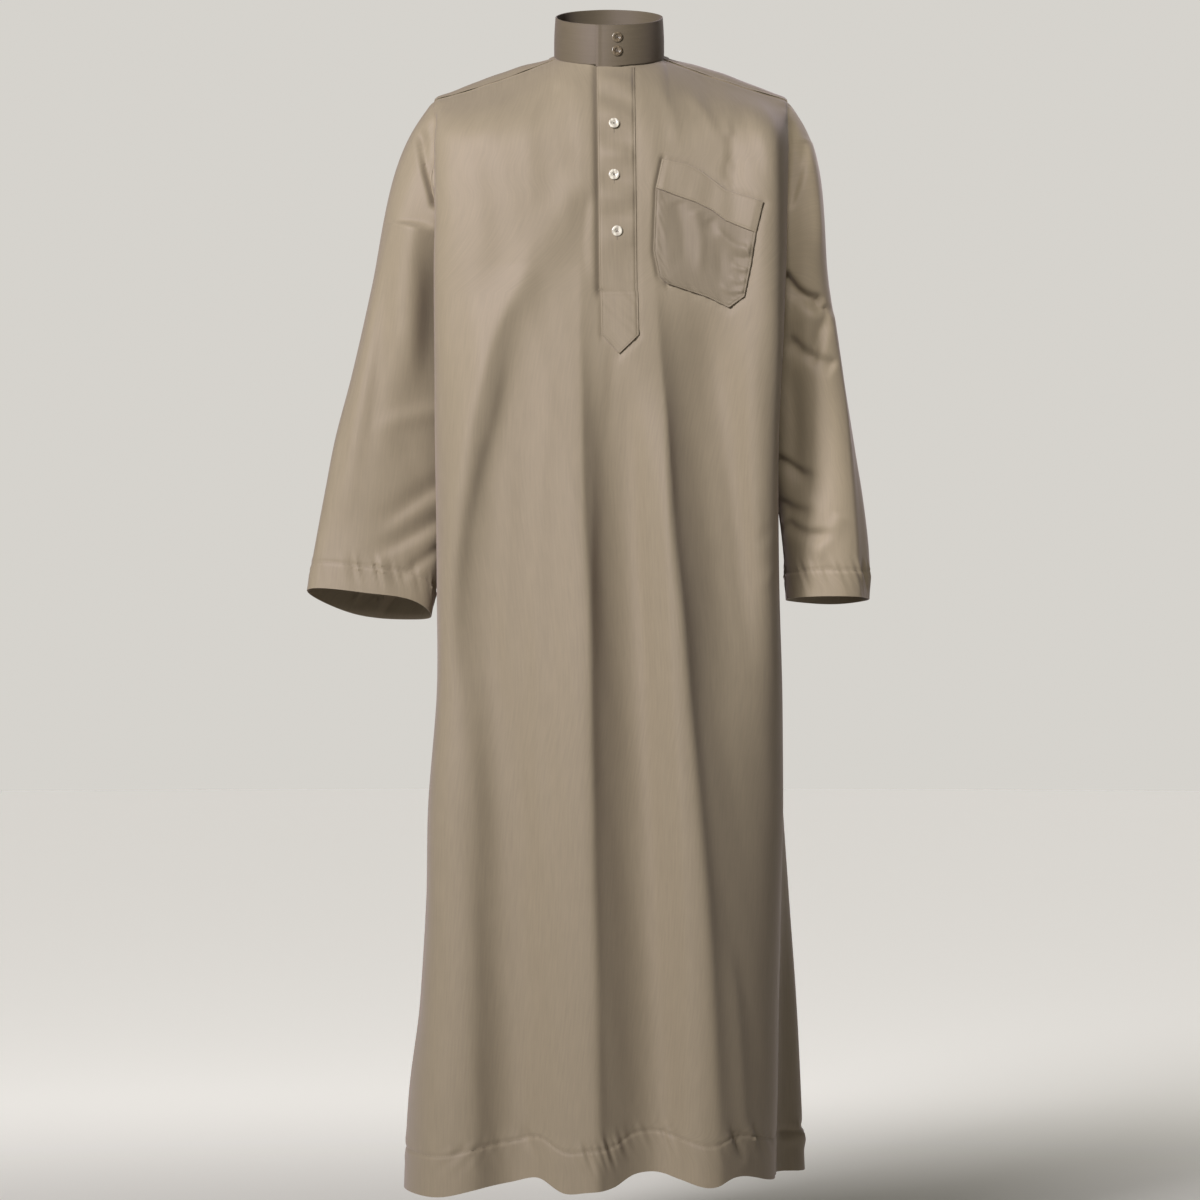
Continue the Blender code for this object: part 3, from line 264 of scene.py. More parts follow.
BACK_CREASES = (
    (2.4, 12, 16, 0.3, 0.4, ((-150, -90), (-110, -150), (-96, -230))),
    (2.2, 16, 12, 0.3, 0.4, ((148, -90), (116, -150), (104, -240))),
    (1.8, 9, 12, 0.2, 0.5, ((-60, -10), (-64, -70), (-58, -150))),
    (1.6, 12, 9, 0.2, 0.5, ((56, -12), (60, -80), (52, -160))),
    (-2, 12, 15, 0.2, 0.5, ((-176, -300), (-120, -330), (-40, -344))),
    (-1.8, 15, 12, 0.2, 0.5, ((180, -310), (120, -350), (60, -362))),
    (2, 14, 12, 0.3, 0.4, ((-100, -420), (-90, -640), (-100, -900))),
    (2.2, 12, 14, 0.3, 0.4, ((90, -400), (84, -620), (92, -860))),
    (1.8, 12, 10, 0.3, 0.3, ((0, -500), (-6, -800), (4, -1180))),
)
POCKET_CREASES = (
    (3.6, 12, 6, 0.3, 0.05, ((124, -218), (150, -246), (182, -254))),
    (-2.2, 7, 7, 0.3, 0, ((132, -232), (156, -262), (180, -272))),
    (-1.6, 8, 8, 0.1, 0.4, ((84, -190), (90, -230), (92, -276))),
    (1.6, 7, 7, 0.1, 0.3, ((104, -202), (112, -240), (110, -292))),
    (-1.3, 7, 8, 0.1, 0.3, ((122, -212), (136, -250), (138, -300))),
    (1.2, 6, 8, 0.1, 0.3, ((64, -190), (68, -240), (76, -286))),
    (1.8, 4, 4, 0.4, 0, ((148, -268), (162, -276), (178, -276))),
    (1.5, 4, 4, 0.4, 0, ((146, -282), (158, -291), (174, -290))),
    (1.5, 4, 4, 0.4, 0, ((134, -292), (148, -303), (168, -302))),
)
SLEEVE_CREASES = dict(
    right=(
        (-8, 4, 13, 0.3, 0, ((-240, -84), (-236, -112), (-229, -144), (-216, -190))),
        (-4, 6, 8, 0.2, 0, ((-218, -76), (-218, -120), (-216, -190))),
        (14, 24, 20, 0.05, 0.35, ((-240, -212), (-247, -262), (-250, -346), (-248, -440))),
        (2.4, 13, 11, 0.5, 0, ((-300, -488), (-272, -462), (-245, -453), (-214, -446))),
        (-1.6, 16, 13, 0.4, 0.4, ((-272, -476), (-246, -508), (-228, -548))),
        (-4.6, 16, 9, 0, 0.5, ((-214, -540), (-245, -560), (-300, -600))),
        (-5, 15, 8, 0, 0.5, ((-214, -584), (-253, -606), (-304, -630))),
        (-3.4, 9, 6, 0, 0.3, ((-214, -620), (-236, -636), (-262, -656))),
        (2.6, 16, 13, 0.3, 0.2, ((-278, -240), (-300, -371), (-319, -495), (-330, -600))),
        (-2, 10, 12, 0.3, 0.3, ((-262, -190), (-276, -300), (-290, -420), (-300, -540))),
        (-1.4, 9, 9, 0.3, 0.3, ((-300, -300), (-322, -430), (-342, -560))),
    ),
    left=(
        (-5, 16, 5, 0.06, 0.2, ((244, -108), (238, -147), (222, -200))),
        (-2.4, 6, 6, 0.2, 0.3, ((226, -70), (229, -120), (222, -190))),
        (5, 16, 10, 0.05, 0.3, ((250, -104), (257, -180), (262, -270))),
        (-9, 15, 5, 0.1, 0.15, ((214, -274), (238, -300), (270, -310))),
        (3, 10, 7, 0.3, 0.1, ((226, -306), (250, -322), (276, -326))),
        (-7, 10, 6, 0.1, 0.2, ((272, -312), (262, -350), (252, -392))),
        (-5, 12, 5, 0.2, 0.1, ((218, -352), (247, -376), (280, -390))),
        (8, 44, 9, 0.08, 0, ((274, -308), (283, -390), (293, -500), (301, -600), (305, -680))),
        (-7, 20, 30, 0.3, 0.3, ((224, -300), (228, -400), (236, -520), (240, -580))),
        (-3, 10, 14, 0.2, 0.2, ((212, -380), (226, -460), (222, -530))),
        (-6, 13, 5, 0, 0.5, ((210, -506), (234, -522), (262, -530))),
        (-5.2, 14, 7, 0, 0.4, ((210, -560), (231, -570), (262, -574))),
        (-4.4, 10, 5, 0.1, 0.3, ((218, -584), (246, -598), (284, -600))),
        (2, 7, 10, 0.05, 0.3, ((286, -577), (270, -606), (250, -636))),
    ),
)
SLEEVE_BACK_CREASES = dict(
    right=(
        (-3, 12, 9, 0, 0.3, ((-216, -330), (-250, -352), (-290, -360))),
        (-3.4, 12, 9, 0, 0.3, ((-216, -420), (-256, -446), (-306, -452))),
        (2.6, 14, 12, 0.3, 0.3, ((-250, -160), (-262, -280), (-280, -420))),
        (2.4, 12, 12, 0.3, 0.1, ((-300, -460), (-316, -560), (-330, -660))),
    ),
    left=(
        (-3, 12, 9, 0, 0.3, ((214, -340), (246, -362), (276, -366))),
        (-3.2, 12, 9, 0, 0.3, ((214, -430), (250, -456), (286, -460))),
        (2.4, 12, 14, 0.3, 0.3, ((236, -150), (250, -280), (258, -420))),
        (2.4, 12, 12, 0.3, 0.1, ((268, -470), (276, -560), (288, -660))),
    ),
)


# ---- curves -------------------------------------------------------------------------------
def unit(vectors):
    """The vectors, each divided by its own length."""
    return vectors / np.maximum(np.linalg.norm(vectors, axis=-1, keepdims=True), 1e-12)


def running_length(points):
    """Length along a line of points, from its first one."""
    return np.concatenate([[0.0], np.cumsum(np.linalg.norm(np.diff(points, axis=0), axis=1))])


def read_line(points, run, wanted):
    """Points of a line, or values given at them, at the wanted lengths along it."""
    return np.stack([np.interp(wanted, run, values) for values in points.T], axis=-1)


def through(stations, values, at):
    """Smooth curve through the values: cubic pieces whose slopes are the mean of the chords."""
    order = np.argsort(stations)
    stations = np.asarray(stations, float)[order]
    values = np.asarray(values, float)[order]
    at = np.asarray(at, float)
    step = np.diff(stations)
    chord = np.diff(values) / step
    slope = np.empty_like(values)
    slope[1:-1] = (chord[:-1] * step[1:] + chord[1:] * step[:-1]) / (step[1:] + step[:-1])
    slope[0] = chord[0]
    slope[-1] = chord[-1]
    piece = np.clip(np.searchsorted(stations, at) - 1, 0, len(step) - 1)
    width = step[piece]
    t = np.clip((at - stations[piece]) / width, 0.0, 1.0)
    return ((1 + 2 * t) * (1 - t) ** 2 * values[piece] + t * (1 - t) ** 2 * width * slope[piece]
            + t * t * (3 - 2 * t) * values[piece + 1]
            + t * t * (t - 1) * width * slope[piece + 1])


def column(table, name, z):
    """A table's column in metres at the heights z (metres)."""
    return through(table["z"], table[name], z / MM) * MM


def bezier(a, b, c, d, t):
    """Cubic Bezier curve through a and d, pulled towards b and c."""
    return (1 - t) ** 3 * a + 3 * t * (1 - t) ** 2 * b + 3 * t * t * (1 - t) * c + t ** 3 * d


def soft_step(t):
    """Zero below 0, one above 1, level at both ends."""
    t = np.clip(t, 0.0, 1.0)
    return t * t * (3 - 2 * t)


def bell(distance, width):
    """Gauss bell: 1 at distance 0, 0.37 at one width."""
    return np.exp(-(distance / width) ** 2)


def uneven(run, lengths, seed):
    """A wave that doesn't repeat: the mean of sines of the given lengths, each with its own
    phase, in the range of about -1 to 1."""
    phases = np.random.default_rng(seed).uniform(0, 2 * math.pi, len(lengths))
    total = sum(np.sin(2 * math.pi * run / length + phase)
                for length, phase in zip(lengths, phases))
    return total / math.sqrt(len(lengths))


def crease_field(x, z, creases, straight=False, samples=40):
    """Sum of the creases' heights at places (x, z): each place takes the nearest point of a
    crease's path, and the bell of its distance from it, times the fade along the path. The path
    is a smooth curve through its corners, or straight from each to the next."""
    total = np.zeros(x.shape)
    share = np.linspace(0.0, 1.0, samples)
    for height, before, after, start, end, path in creases:
        knots = np.asarray(path, float) * MM
        at = np.arange(len(knots)) / (len(knots) - 1)
        px, pz = (np.interp(share, at, values) if straight else through(at, values, share)
                  for values in knots.T)
        reach = 2.6 * max(before, after) * MM
        near = ((x > px.min() - reach) & (x < px.max() + reach)
                & (z > pz.min() - reach) & (z < pz.max() + reach))
        if not near.any():
            continue
        dx = x[near][:, None] - px
        dz = z[near][:, None] - pz
        nearest = np.argmin(dx * dx + dz * dz, axis=1)
        pick = np.arange(len(nearest))
        dx, dz = dx[pick, nearest], dz[pick, nearest]
        tx, tz = np.gradient(px, share)[nearest], np.gradient(pz, share)[nearest]
        long = np.hypot(tx, tz)
        beside = (tx * dz - tz * dx) / long
        forward = (tx * dx + tz * dz) / long
        along = share[nearest] + forward / long
        past = np.maximum(np.maximum(-along, along - 1.0), 0.0) * long
        fade = soft_step(along / start) if start else 1.0
        fade = fade * (soft_step((1 - along) / end) if end else 1.0)
        width = np.where(beside > 0, after, before) * MM
        total[near] += height * MM * fade * bell(np.hypot(beside, past), width)
    return total


# ---- the body's level outlines ------------------------------------------------------------
def fold_height(folds, stations, x, z):
    """Sum of the long folds' heights at x, z: each is a bell whose flanks differ in width, and
    whose flank on the wearer's left falls off at once where 'sharp' is below 2."""
    total = np.zeros(np.broadcast(x, z).shape)
    for fold in folds:
        crest, height, after = (through(stations, fold[name], z / MM) * MM
                                for name in ("crest", "height", "after"))
        away = x - crest
        sharp = fold.get("sharp", 2.0)
        near = np.exp(-np.hypot(away, CREST_ROUND) ** sharp / after ** sharp)
        near = near / np.exp(-(CREST_ROUND / after) ** sharp)
        bells = np.where(away < 0, bell(away, fold["before"] * MM), near)
        total = total + np.maximum(height, 0.0) * bells
    return total


def side_point(face, side, z):
    """The side seam below the armpit, the armhole's edge above it."""
    armhole = ARMHOLE_FRONT if face == FACE_FRONT else ARMHOLE_BACK
    below = z <= ARMPIT_Z + 1e-9
    x = np.where(below, column(SIDE_SEAM, side, z), column(armhole, side, z))
    y = np.where(below, column(SIDE_SEAM, "y", z), column(armhole, "y", z))
    return x, y


def half_outline(face, side, z, samples=140):
    """Dense level outlines of half a panel: a flat-fronted quarter round from the middle to the
    fold beside the arm, an S on to the side, and the folds pushed out along the plan's normal."""
    sections = FRONT_SECTIONS if face == FACE_FRONT else BACK_SECTIONS
    middle_y = column(sections, "middle_y", z)
    edge_x = column(sections, side + "_edge", z)
    edge_y = column(sections, "edge_y", z)
    side_x, side_y = side_point(face, side, z)
    zero = np.zeros_like(z)

    def pair(x, y):
        """One place for each level."""
        return np.stack([x, y], axis=-1)[:, None, :]

    t = np.linspace(0.0, 1.0, samples)[None, :, None]
    middle, edge, end = pair(zero, middle_y), pair(edge_x, edge_y), pair(side_x, side_y)
    flat = np.full_like(z, FLATNESS)
    if face == FACE_FRONT:
        below, above = FLATTER[side]
        flat += below + above * soft_step((z - FLATTER_Z) / FLATTER_REACH)
    quarter = bezier(middle, middle + pair(flat * edge_x, zero),
                     edge + pair(zero, (flat + 0.04) * (middle_y - edge_y)), edge, t)
    reach = 0.5 * (side_y - edge_y)
    tuck = bezier(edge, edge + pair(zero, reach), end - pair(zero, reach), end, t[:, 1:])
    plan = np.concatenate([quarter, tuck], axis=1)
    along = unit(np.gradient(plan, axis=1))
    outward = face * np.stack([-along[..., 1], along[..., 0]], axis=-1)
    sign = 1.0 if side == "left" else -1.0
    folds = FRONT_FOLDS if face == FACE_FRONT else BACK_FOLDS
    stations = FOLD_Z if face == FACE_FRONT else BACK_FOLD_Z
    lift = fold_height(folds, stations, sign * plan[..., 0], z[:, None])
    facing = np.maximum(face * outward[..., 1], 0.0)
    plan = plan + outward * (lift * facing ** 1.5)[..., None]
    plan[..., 0] *= sign
    return plan


def half_rows(face, side, z, shares):
    """Points of half a panel on level rows: columns keep their distance from the middle."""
    rows = []
    for line in half_outline(face, side, z):
        run = running_length(line)
        whole = run[-1] - 0.5 * GAP
        straight = GRAIN_SHARE * min(whole, GRAIN_WIDTH)
        rows.append(read_line(line, run, straight * shares + (whole - straight) * shares ** 4))
    return np.array(rows)


def hem_rise(face, x, z):
    """How far the rows near the bottom are lifted, so that the hem's edge is wavy."""
    hem = FRONT_HEM if face == FACE_FRONT else BACK_HEM
    fade = soft_step((HEM_RISE_Z - z) / (HEM_RISE_Z - HEM_Z))
    return through(hem["x"], hem["rise"], x / MM) * MM * fade


# ---- the panels' tops ---------------------------------------------------------------------
def neck_point(angle):
    """The neckline: a level ellipse tipped forwards; angle 0 is the front's middle."""
    x = NECK_HALF_WIDTH * np.sin(angle)
    y = -NECK_HALF_DEPTH * np.cos(angle)
    return np.stack([x, y, NECK_TILT * y], axis=-1)


SEAM_ANGLE = math.acos(SEAM_FORWARD / NECK_HALF_DEPTH)
NECK_WAY = (0.30, 0.40, 0.88)      # the way up to the neckline: inwards, to the middle, and up
LEAN, LEAN_LOST = 0.50, 0.08       # share of the rise kept straight, and the front seam's loss


def top_edge(face, side, shares):
    """Where half a panel's columns end: on the neckline, then along the shoulder seam."""
    sign = 1.0 if side == "left" else -1.0
    on_neck = np.clip(shares / NECK_SHARE, 0.0, 1.0)
    back_angle = math.pi + (SEAM_ANGLE - math.pi) * on_neck
    points = neck_point(SEAM_ANGLE * on_neck if face == FACE_FRONT else back_angle)
    run = np.clip((shares - NECK_SHARE) / (1.0 - NECK_SHARE), 0.0, 1.0)
    start = neck_point(SEAM_ANGLE)
    tip = np.array(SHOULDER_POINT[side]) * MM
    reach = tip[0] - start[0]
    x = reach * run
    sag = (start[2] - tip[2] - SHOULDER_SLOPE[side] * reach) / reach ** 2
    seam = np.stack([start[0] + x, start[1] + (tip[1] - start[1]) * run,
                     start[2] - SHOULDER_SLOPE[side] * x - sag * x * x], axis=-1)
    points = np.where((shares > NECK_SHARE)[:, None], seam, points)
    points[:, 0] *= sign
    return points


def top_rows(face, side, shares, chest, slope, heights):
    """Columns from the chest up to the neckline and the shoulder seam, as cubic curves that
    leave the chest along its slope (change of x and y for each metre up)."""
    top = top_edge(face, side, shares)
    sign = 1.0 if side == "left" else -1.0
    to_shoulder = soft_step(shares / NECK_SHARE)[:, None]
    low = np.concatenate([chest, np.full((len(shares), 1), CHEST_Z)], axis=1)
    rise = (top[:, 2] - CHEST_Z)[:, None]
    run = np.clip((shares - NECK_SHARE) / (1.0 - NECK_SHARE), 0.0, 1.0)[:, None]
    neck_way = np.stack([-NECK_WAY[0] * top[:, 0] / NECK_HALF_WIDTH, -NECK_WAY[1] * top[:, 1]
                         / NECK_HALF_DEPTH, np.full(len(shares), NECK_WAY[2])], axis=1)
    steep = through(RIDGE["run"], RIDGE["steep"], run)
    outward = sign * through(RIDGE["run"], RIDGE["fan"], run)
    over = np.concatenate([0 * run, np.sqrt(1 - steep ** 2), steep], axis=1)
    along = np.concatenate([outward, 0 * run, -np.abs(outward) * SHOULDER_SLOPE[side]], axis=1)
    lean = np.concatenate([slope, np.ones((len(shares), 1))], axis=1) * rise
    if face == FACE_FRONT:
        first = low + lean * (LEAN - LEAN_LOST * to_shoulder)
        over = -(over - 0.5 * along) * FRONT_REACH
    else:
        crown = through(RIDGE["run"], RIDGE["crown"], run)
        to_shoulder = to_shoulder ** 2
        first = low + lean * (LEAN * (1 - to_shoulder) + crown * to_shoulder)
        over = (over + along) * RIDGE_REACH
    second = top - neck_way * NECK_REACH * (1 - to_shoulder) + over * to_shoulder
    return bezier(low[None], first[None], second[None], top[None], heights[:, None, None])


# ---- grids --------------------------------------------------------------------------------
# Columns of half a panel, as shares of its width: under the neckline, along the shoulder seam,
# and three more close to its edge. Rows: close together up the turned hem, on to the armpit, on
# to the chest, and then as shares of the way up to the top.
COLUMN_SHARES = np.unique(np.concatenate([
    NECK_SHARE * np.linspace(0, 1, 40), NECK_SHARE + (1 - NECK_SHARE) * np.linspace(0, 1, 42),
    1 - np.array([0.010, 0.0055, 0.0025])]))
HEM_ROWS_Z = HEM_Z + 0.064
LEVELS = np.concatenate([
    np.linspace(HEM_Z, HEM_ROWS_Z, 27), np.linspace(HEM_ROWS_Z, ARMPIT_Z, 164)[1:],
    np.linspace(ARMPIT_Z, CHEST_Z, 42)[1:]])
TOP_HEIGHTS = np.concatenate([np.linspace(0, 1, 42)[1:-1], [0.985, 0.993, 1.0]])
ARMPIT_ROW = int(np.argmin(np.abs(LEVELS - ARMPIT_Z)))
SMOOTHED_BELOW, SMOOTHED_ABOVE, SMOOTHED_FADE = 30, 26, 14      # rows round the chest's level
SMOOTHING_PASSES = 60


def grid_normals(grid, wrap=False):
    """Unit normals of a grid of points, from its two directions of travel."""
    if wrap:
        ring = np.concatenate([grid[:, -1:], grid, grid[:, :1]], axis=1)
        across = ring[:, 2:] - ring[:, :-2]
    else:
        across = np.gradient(grid, axis=1)
    return unit(np.cross(across, np.gradient(grid, axis=0)))


def grid_runs(grid):
    """Arc lengths along a grid's rows (from the first column) and up its columns (from the
    first row)."""
    across = np.linalg.norm(np.diff(grid, axis=1), axis=2)
    up = np.linalg.norm(np.diff(grid, axis=0), axis=2)
    u = np.concatenate([np.zeros((grid.shape[0], 1)), np.cumsum(across, axis=1)], axis=1)
    v = np.concatenate([np.zeros((1, grid.shape[1])), np.cumsum(up, axis=0)], axis=0)
    return u, v


def plain_panel(face):
    """A panel's outer points before creases: rows from the hem up, columns from -X to +X."""
    halves = {}
    for side in ("right", "left"):
        plan = half_rows(face, side, LEVELS, COLUMN_SHARES)
        z = np.repeat(LEVELS[:, None], len(COLUMN_SHARES), axis=1)
        z = z + hem_rise(face, plan[..., 0], z)
        body = np.concatenate([plan, z[..., None]], axis=2)
        slope = (plan[-1] - plan[-2]) / (LEVELS[-1] - LEVELS[-2])
        top = top_rows(face, side, COLUMN_SHARES, plan[-1], slope, TOP_HEIGHTS)
        half = np.concatenate([body, top], axis=0)
        row = np.arange(len(half)) - len(LEVELS) + 1
        share = (0.5 * soft_step((row + SMOOTHED_BELOW) / SMOOTHED_FADE)
                 * soft_step((SMOOTHED_ABOVE - row) / SMOOTHED_FADE))[:, None, None]
        for _ in range(SMOOTHING_PASSES):
            mean = 0.5 * (half[:-2] + half[2:])
            half[1:-1] += share[1:-1] * (mean - half[1:-1])
        halves[side] = half
    return np.concatenate([halves["right"][:, :0:-1], halves["left"]], axis=1)


DOWN_FRONT = (0.0, -0.86, -0.50)   # the directions down the front and off the shoulder seam
OFF_SEAM = (0.0, -0.50, 0.86)
LEDGE_CLEAR = 0.12                 # share of the shoulder seam over which the ledge grows
LEDGE_ROWS = (0.15, 0.55, 1.0)     # its share on a panel's last three rows


def seam_ledge(face):
    """Half the seam gap, and the rise of the back's folded edge over the front's, along a
    panel's last rows; the ledge starts clear of the collar and dies out below the seam."""
    both = np.concatenate([COLUMN_SHARES[:0:-1], COLUMN_SHARES])[None, :, None]
    on_seam = both > NECK_SHARE - 1e-6
    down_front = np.array(DOWN_FRONT) * 0.5 * GAP
    if face == FACE_FRONT:
        return np.where(on_seam, down_front, 0.0)
    clear_of_collar = soft_step((both - NECK_SHARE) / (LEDGE_CLEAR * (1.0 - NECK_SHARE)))
    ledge = np.array(OFF_SEAM) * YOKE_LEDGE * clear_of_collar
    return np.where(on_seam, ledge - down_front, 0.0)


SEAM_SINK = 1.5 * MM         # how deep the side seams, the armholes and the yoke's line sink in
ARMHOLE_SINK = 4.5 * MM
YOKE_SINK = 1.2 * MM


def seam_distance(grid):
    """Distance of each point from the nearer side edge of its row."""
    u, _ = grid_runs(grid)
    return np.minimum(u, u[:, -1:] - u)


def hem_texture(u, v, depth, seed):
    """Relief of a turned hem: a stitched groove at its top, gathers that pull across the stitch
    line and die out above it and towards the edge, slanting a little, and a second layer's
    thickness below."""
    from_line = v - depth
    slanted = u + 0.35 * from_line
    gathers = uneven(slanted, (9 * MM, 15 * MM, 26 * MM, 43 * MM), seed)
    patches = 0.55 + 0.45 * uneven(u, (90 * MM, 151 * MM), seed + 1)
    above = bell(np.maximum(from_line, 0), 12 * MM)
    below = bell(np.minimum(from_line, 0), 20 * MM)
    relief = 2.6 * MM * gathers * patches * above * below
    relief = relief - 1.0 * MM * bell(from_line, 2.0 * MM)
    return relief + 0.45 * MM * soft_step(-from_line / (2.5 * MM))


@lru_cache(maxsize=None)
def body_grids():
    """The front's and the back's outer points and outward normals, with creases, hem relief
    and sunk seams, and the front's points without the grooves under the trims' edges. Where the
    two are sewn together they share their points and normals."""
    grids = [plain_panel(FACE_FRONT), plain_panel(FACE_BACK)]
    normals = [grid_normals(grids[0]), -grid_normals(grids[1])]
    neck = int(np.sum(COLUMN_SHARES > NECK_SHARE + 1e-9))
    sewn = [(slice(0, ARMPIT_ROW + 1), 0), (slice(0, ARMPIT_ROW + 1), -1),
            (-1, slice(0, neck + 1)), (-1, slice(-neck - 1, None))]
    for seam in sewn:
        normals[0][seam] = normals[1][seam] = unit(normals[0][seam] + normals[1][seam])
    for number, (face, creases) in enumerate(((FACE_FRONT, FRONT_CREASES),
                                              (FACE_BACK, BACK_CREASES))):
        grid, normal = grids[number], normals[number]
        x, z = grid[..., 0], grid[..., 2]
        edge = seam_distance(grid)
        _, v = grid_runs(grid)
        facing = np.clip(face * normal[..., 1] * 1.4, 0.0, 1.0)
        relief = crease_field(x, z, creases) * facing
        relief += 0.30 * MM * uneven(x + 0.2 * z, (37 * MM, 61 * MM, 97 * MM),
                                     SEEDS["body"] + number)
        relief += hem_texture(x, v, HEM_DEPTH, SEEDS["hem"] + number)
        relief *= soft_step(edge / (14 * MM))
        side_pucker = uneven(z, (13 * MM, 21 * MM, 34 * MM), SEEDS["side"] + number)
        relief += 0.28 * MM * side_pucker * bell(edge - 9 * MM, 8 * MM)
        relief -= SEAM_SINK * bell(edge, 2.4 * MM)
        armhole = soft_step((z - ARMPIT_Z) / 0.05) * soft_step((-0.06 - z) / 0.035)
        relief -= ARMHOLE_SINK * armhole * bell(edge, 4.5 * MM)
        if face == FACE_FRONT:
            on_seam = np.abs(np.concatenate([COLUMN_SHARES[:0:-1], COLUMN_SHARES])) > NECK_SHARE
            relief -= YOKE_SINK * bell(v[-1:] - v - 2 * MM, 2.2 * MM) * on_seam[None]
            bare = grid + normal * relief[..., None]
            relief += crease_field(x, z, TRIM_GROOVES, straight=True)
        grid += normal * relief[..., None]
        grid[-3:] += seam_ledge(face) * np.array(LEDGE_ROWS)[:, None, None]
    return grids, [grid_normals(grids[0]), -grid_normals(grids[1])], bare


def armhole_ring(side):
    """One armhole's points out of the two panels: from the shoulder point down the front to the
    armpit and back up the back."""
    end = -1 if side == "left" else 0
    front, back = (grid[ARMPIT_ROW:, end] for grid in body_grids()[0])
    armpit = 0.5 * (front[:1] + back[:1])
    shoulder = 0.5 * (front[-1:] + back[-1:])
    return np.concatenate([shoulder, front[-2:0:-1], armpit, back[1:-1]])


def ring_turns(ring):
    """Angles of the armhole's points: 0 at the shoulder, half a turn at the armpit."""
    half = len(ring) // 2
    run = np.linalg.norm(np.diff(np.concatenate([ring, ring[:1]]), axis=0), axis=1)
    down = np.concatenate([[0.0], np.cumsum(run[:half])])
    up = np.concatenate([[0.0], np.cumsum(run[half:])])
    return np.concatenate([down / down[-1], 1.0 + up[1:-1] / up[-1]]) * math.pi


SLEEVE_FULLNESS = 0.68             # 1 is an ellipse, less is squarer
CUFF_BUMPS = (2.3, 4.9)            # angles of the cuff's two bumps


def sleeve_section(table, tilt, turns, z, share):
    """A level outline of the hanging sleeve, narrower towards the body, its plane tipped by the
    share of the cuff's tilt."""
    outer, inner = column(table, "outer", z), column(table, "inner", z)
    depth, middle_y = column(table, "half_depth", z), column(table, "middle_y", z)
    pinch = through(table["z"], table["pinch"], z / MM)
    x = 0.5 * (outer + inner) + 0.5 * (outer - inner) * np.cos(turns)
    full = np.sign(np.sin(turns)) * np.abs(np.sin(turns)) ** SLEEVE_FULLNESS
    y = middle_y - depth * full * (1 - pinch * (1 - np.cos(turns)) / 2)
    rise = share * MM * (tilt[0] * np.sin(turns) + tilt[1] * np.cos(turns)
                         + tilt[2] * bell(turns - CUFF_BUMPS[0], 0.6)
                         - tilt[3] * bell(turns - CUFF_BUMPS[1], 0.7))
    return np.stack([x, y, z + rise], axis=-1)


CUFF_RADIUS = 0.055          # turns angles round a sleeve into lengths for its waves
SLEEVE_HEAD_ROWS = 62
SLEEVE_ARM_ROWS = 92
SLEEVE_CUFF_ROWS = 16
SLEEVE_ARM_LENGTH = 390.0 * MM
SLEEVE_SMOOTHING = 90        # passes that even out a sleeve's head
HEAD_FOOT = (-345, 55)       # where the head ends (mm): inside, and how much higher outside
HEAD_LEAVES = (88, 42)       # degrees it falls at the armhole: inside, and how much less outside
HEAD_PULLS = (0.36, 0.34)    # pull of the head's curve at its two ends, as shares of its span
HEAD_FIRST_ROWS = (0.0, 0.006, 0.015, 0.03)
LOOK_DOWN = 0.03             # this much further down, the arm's direction is read


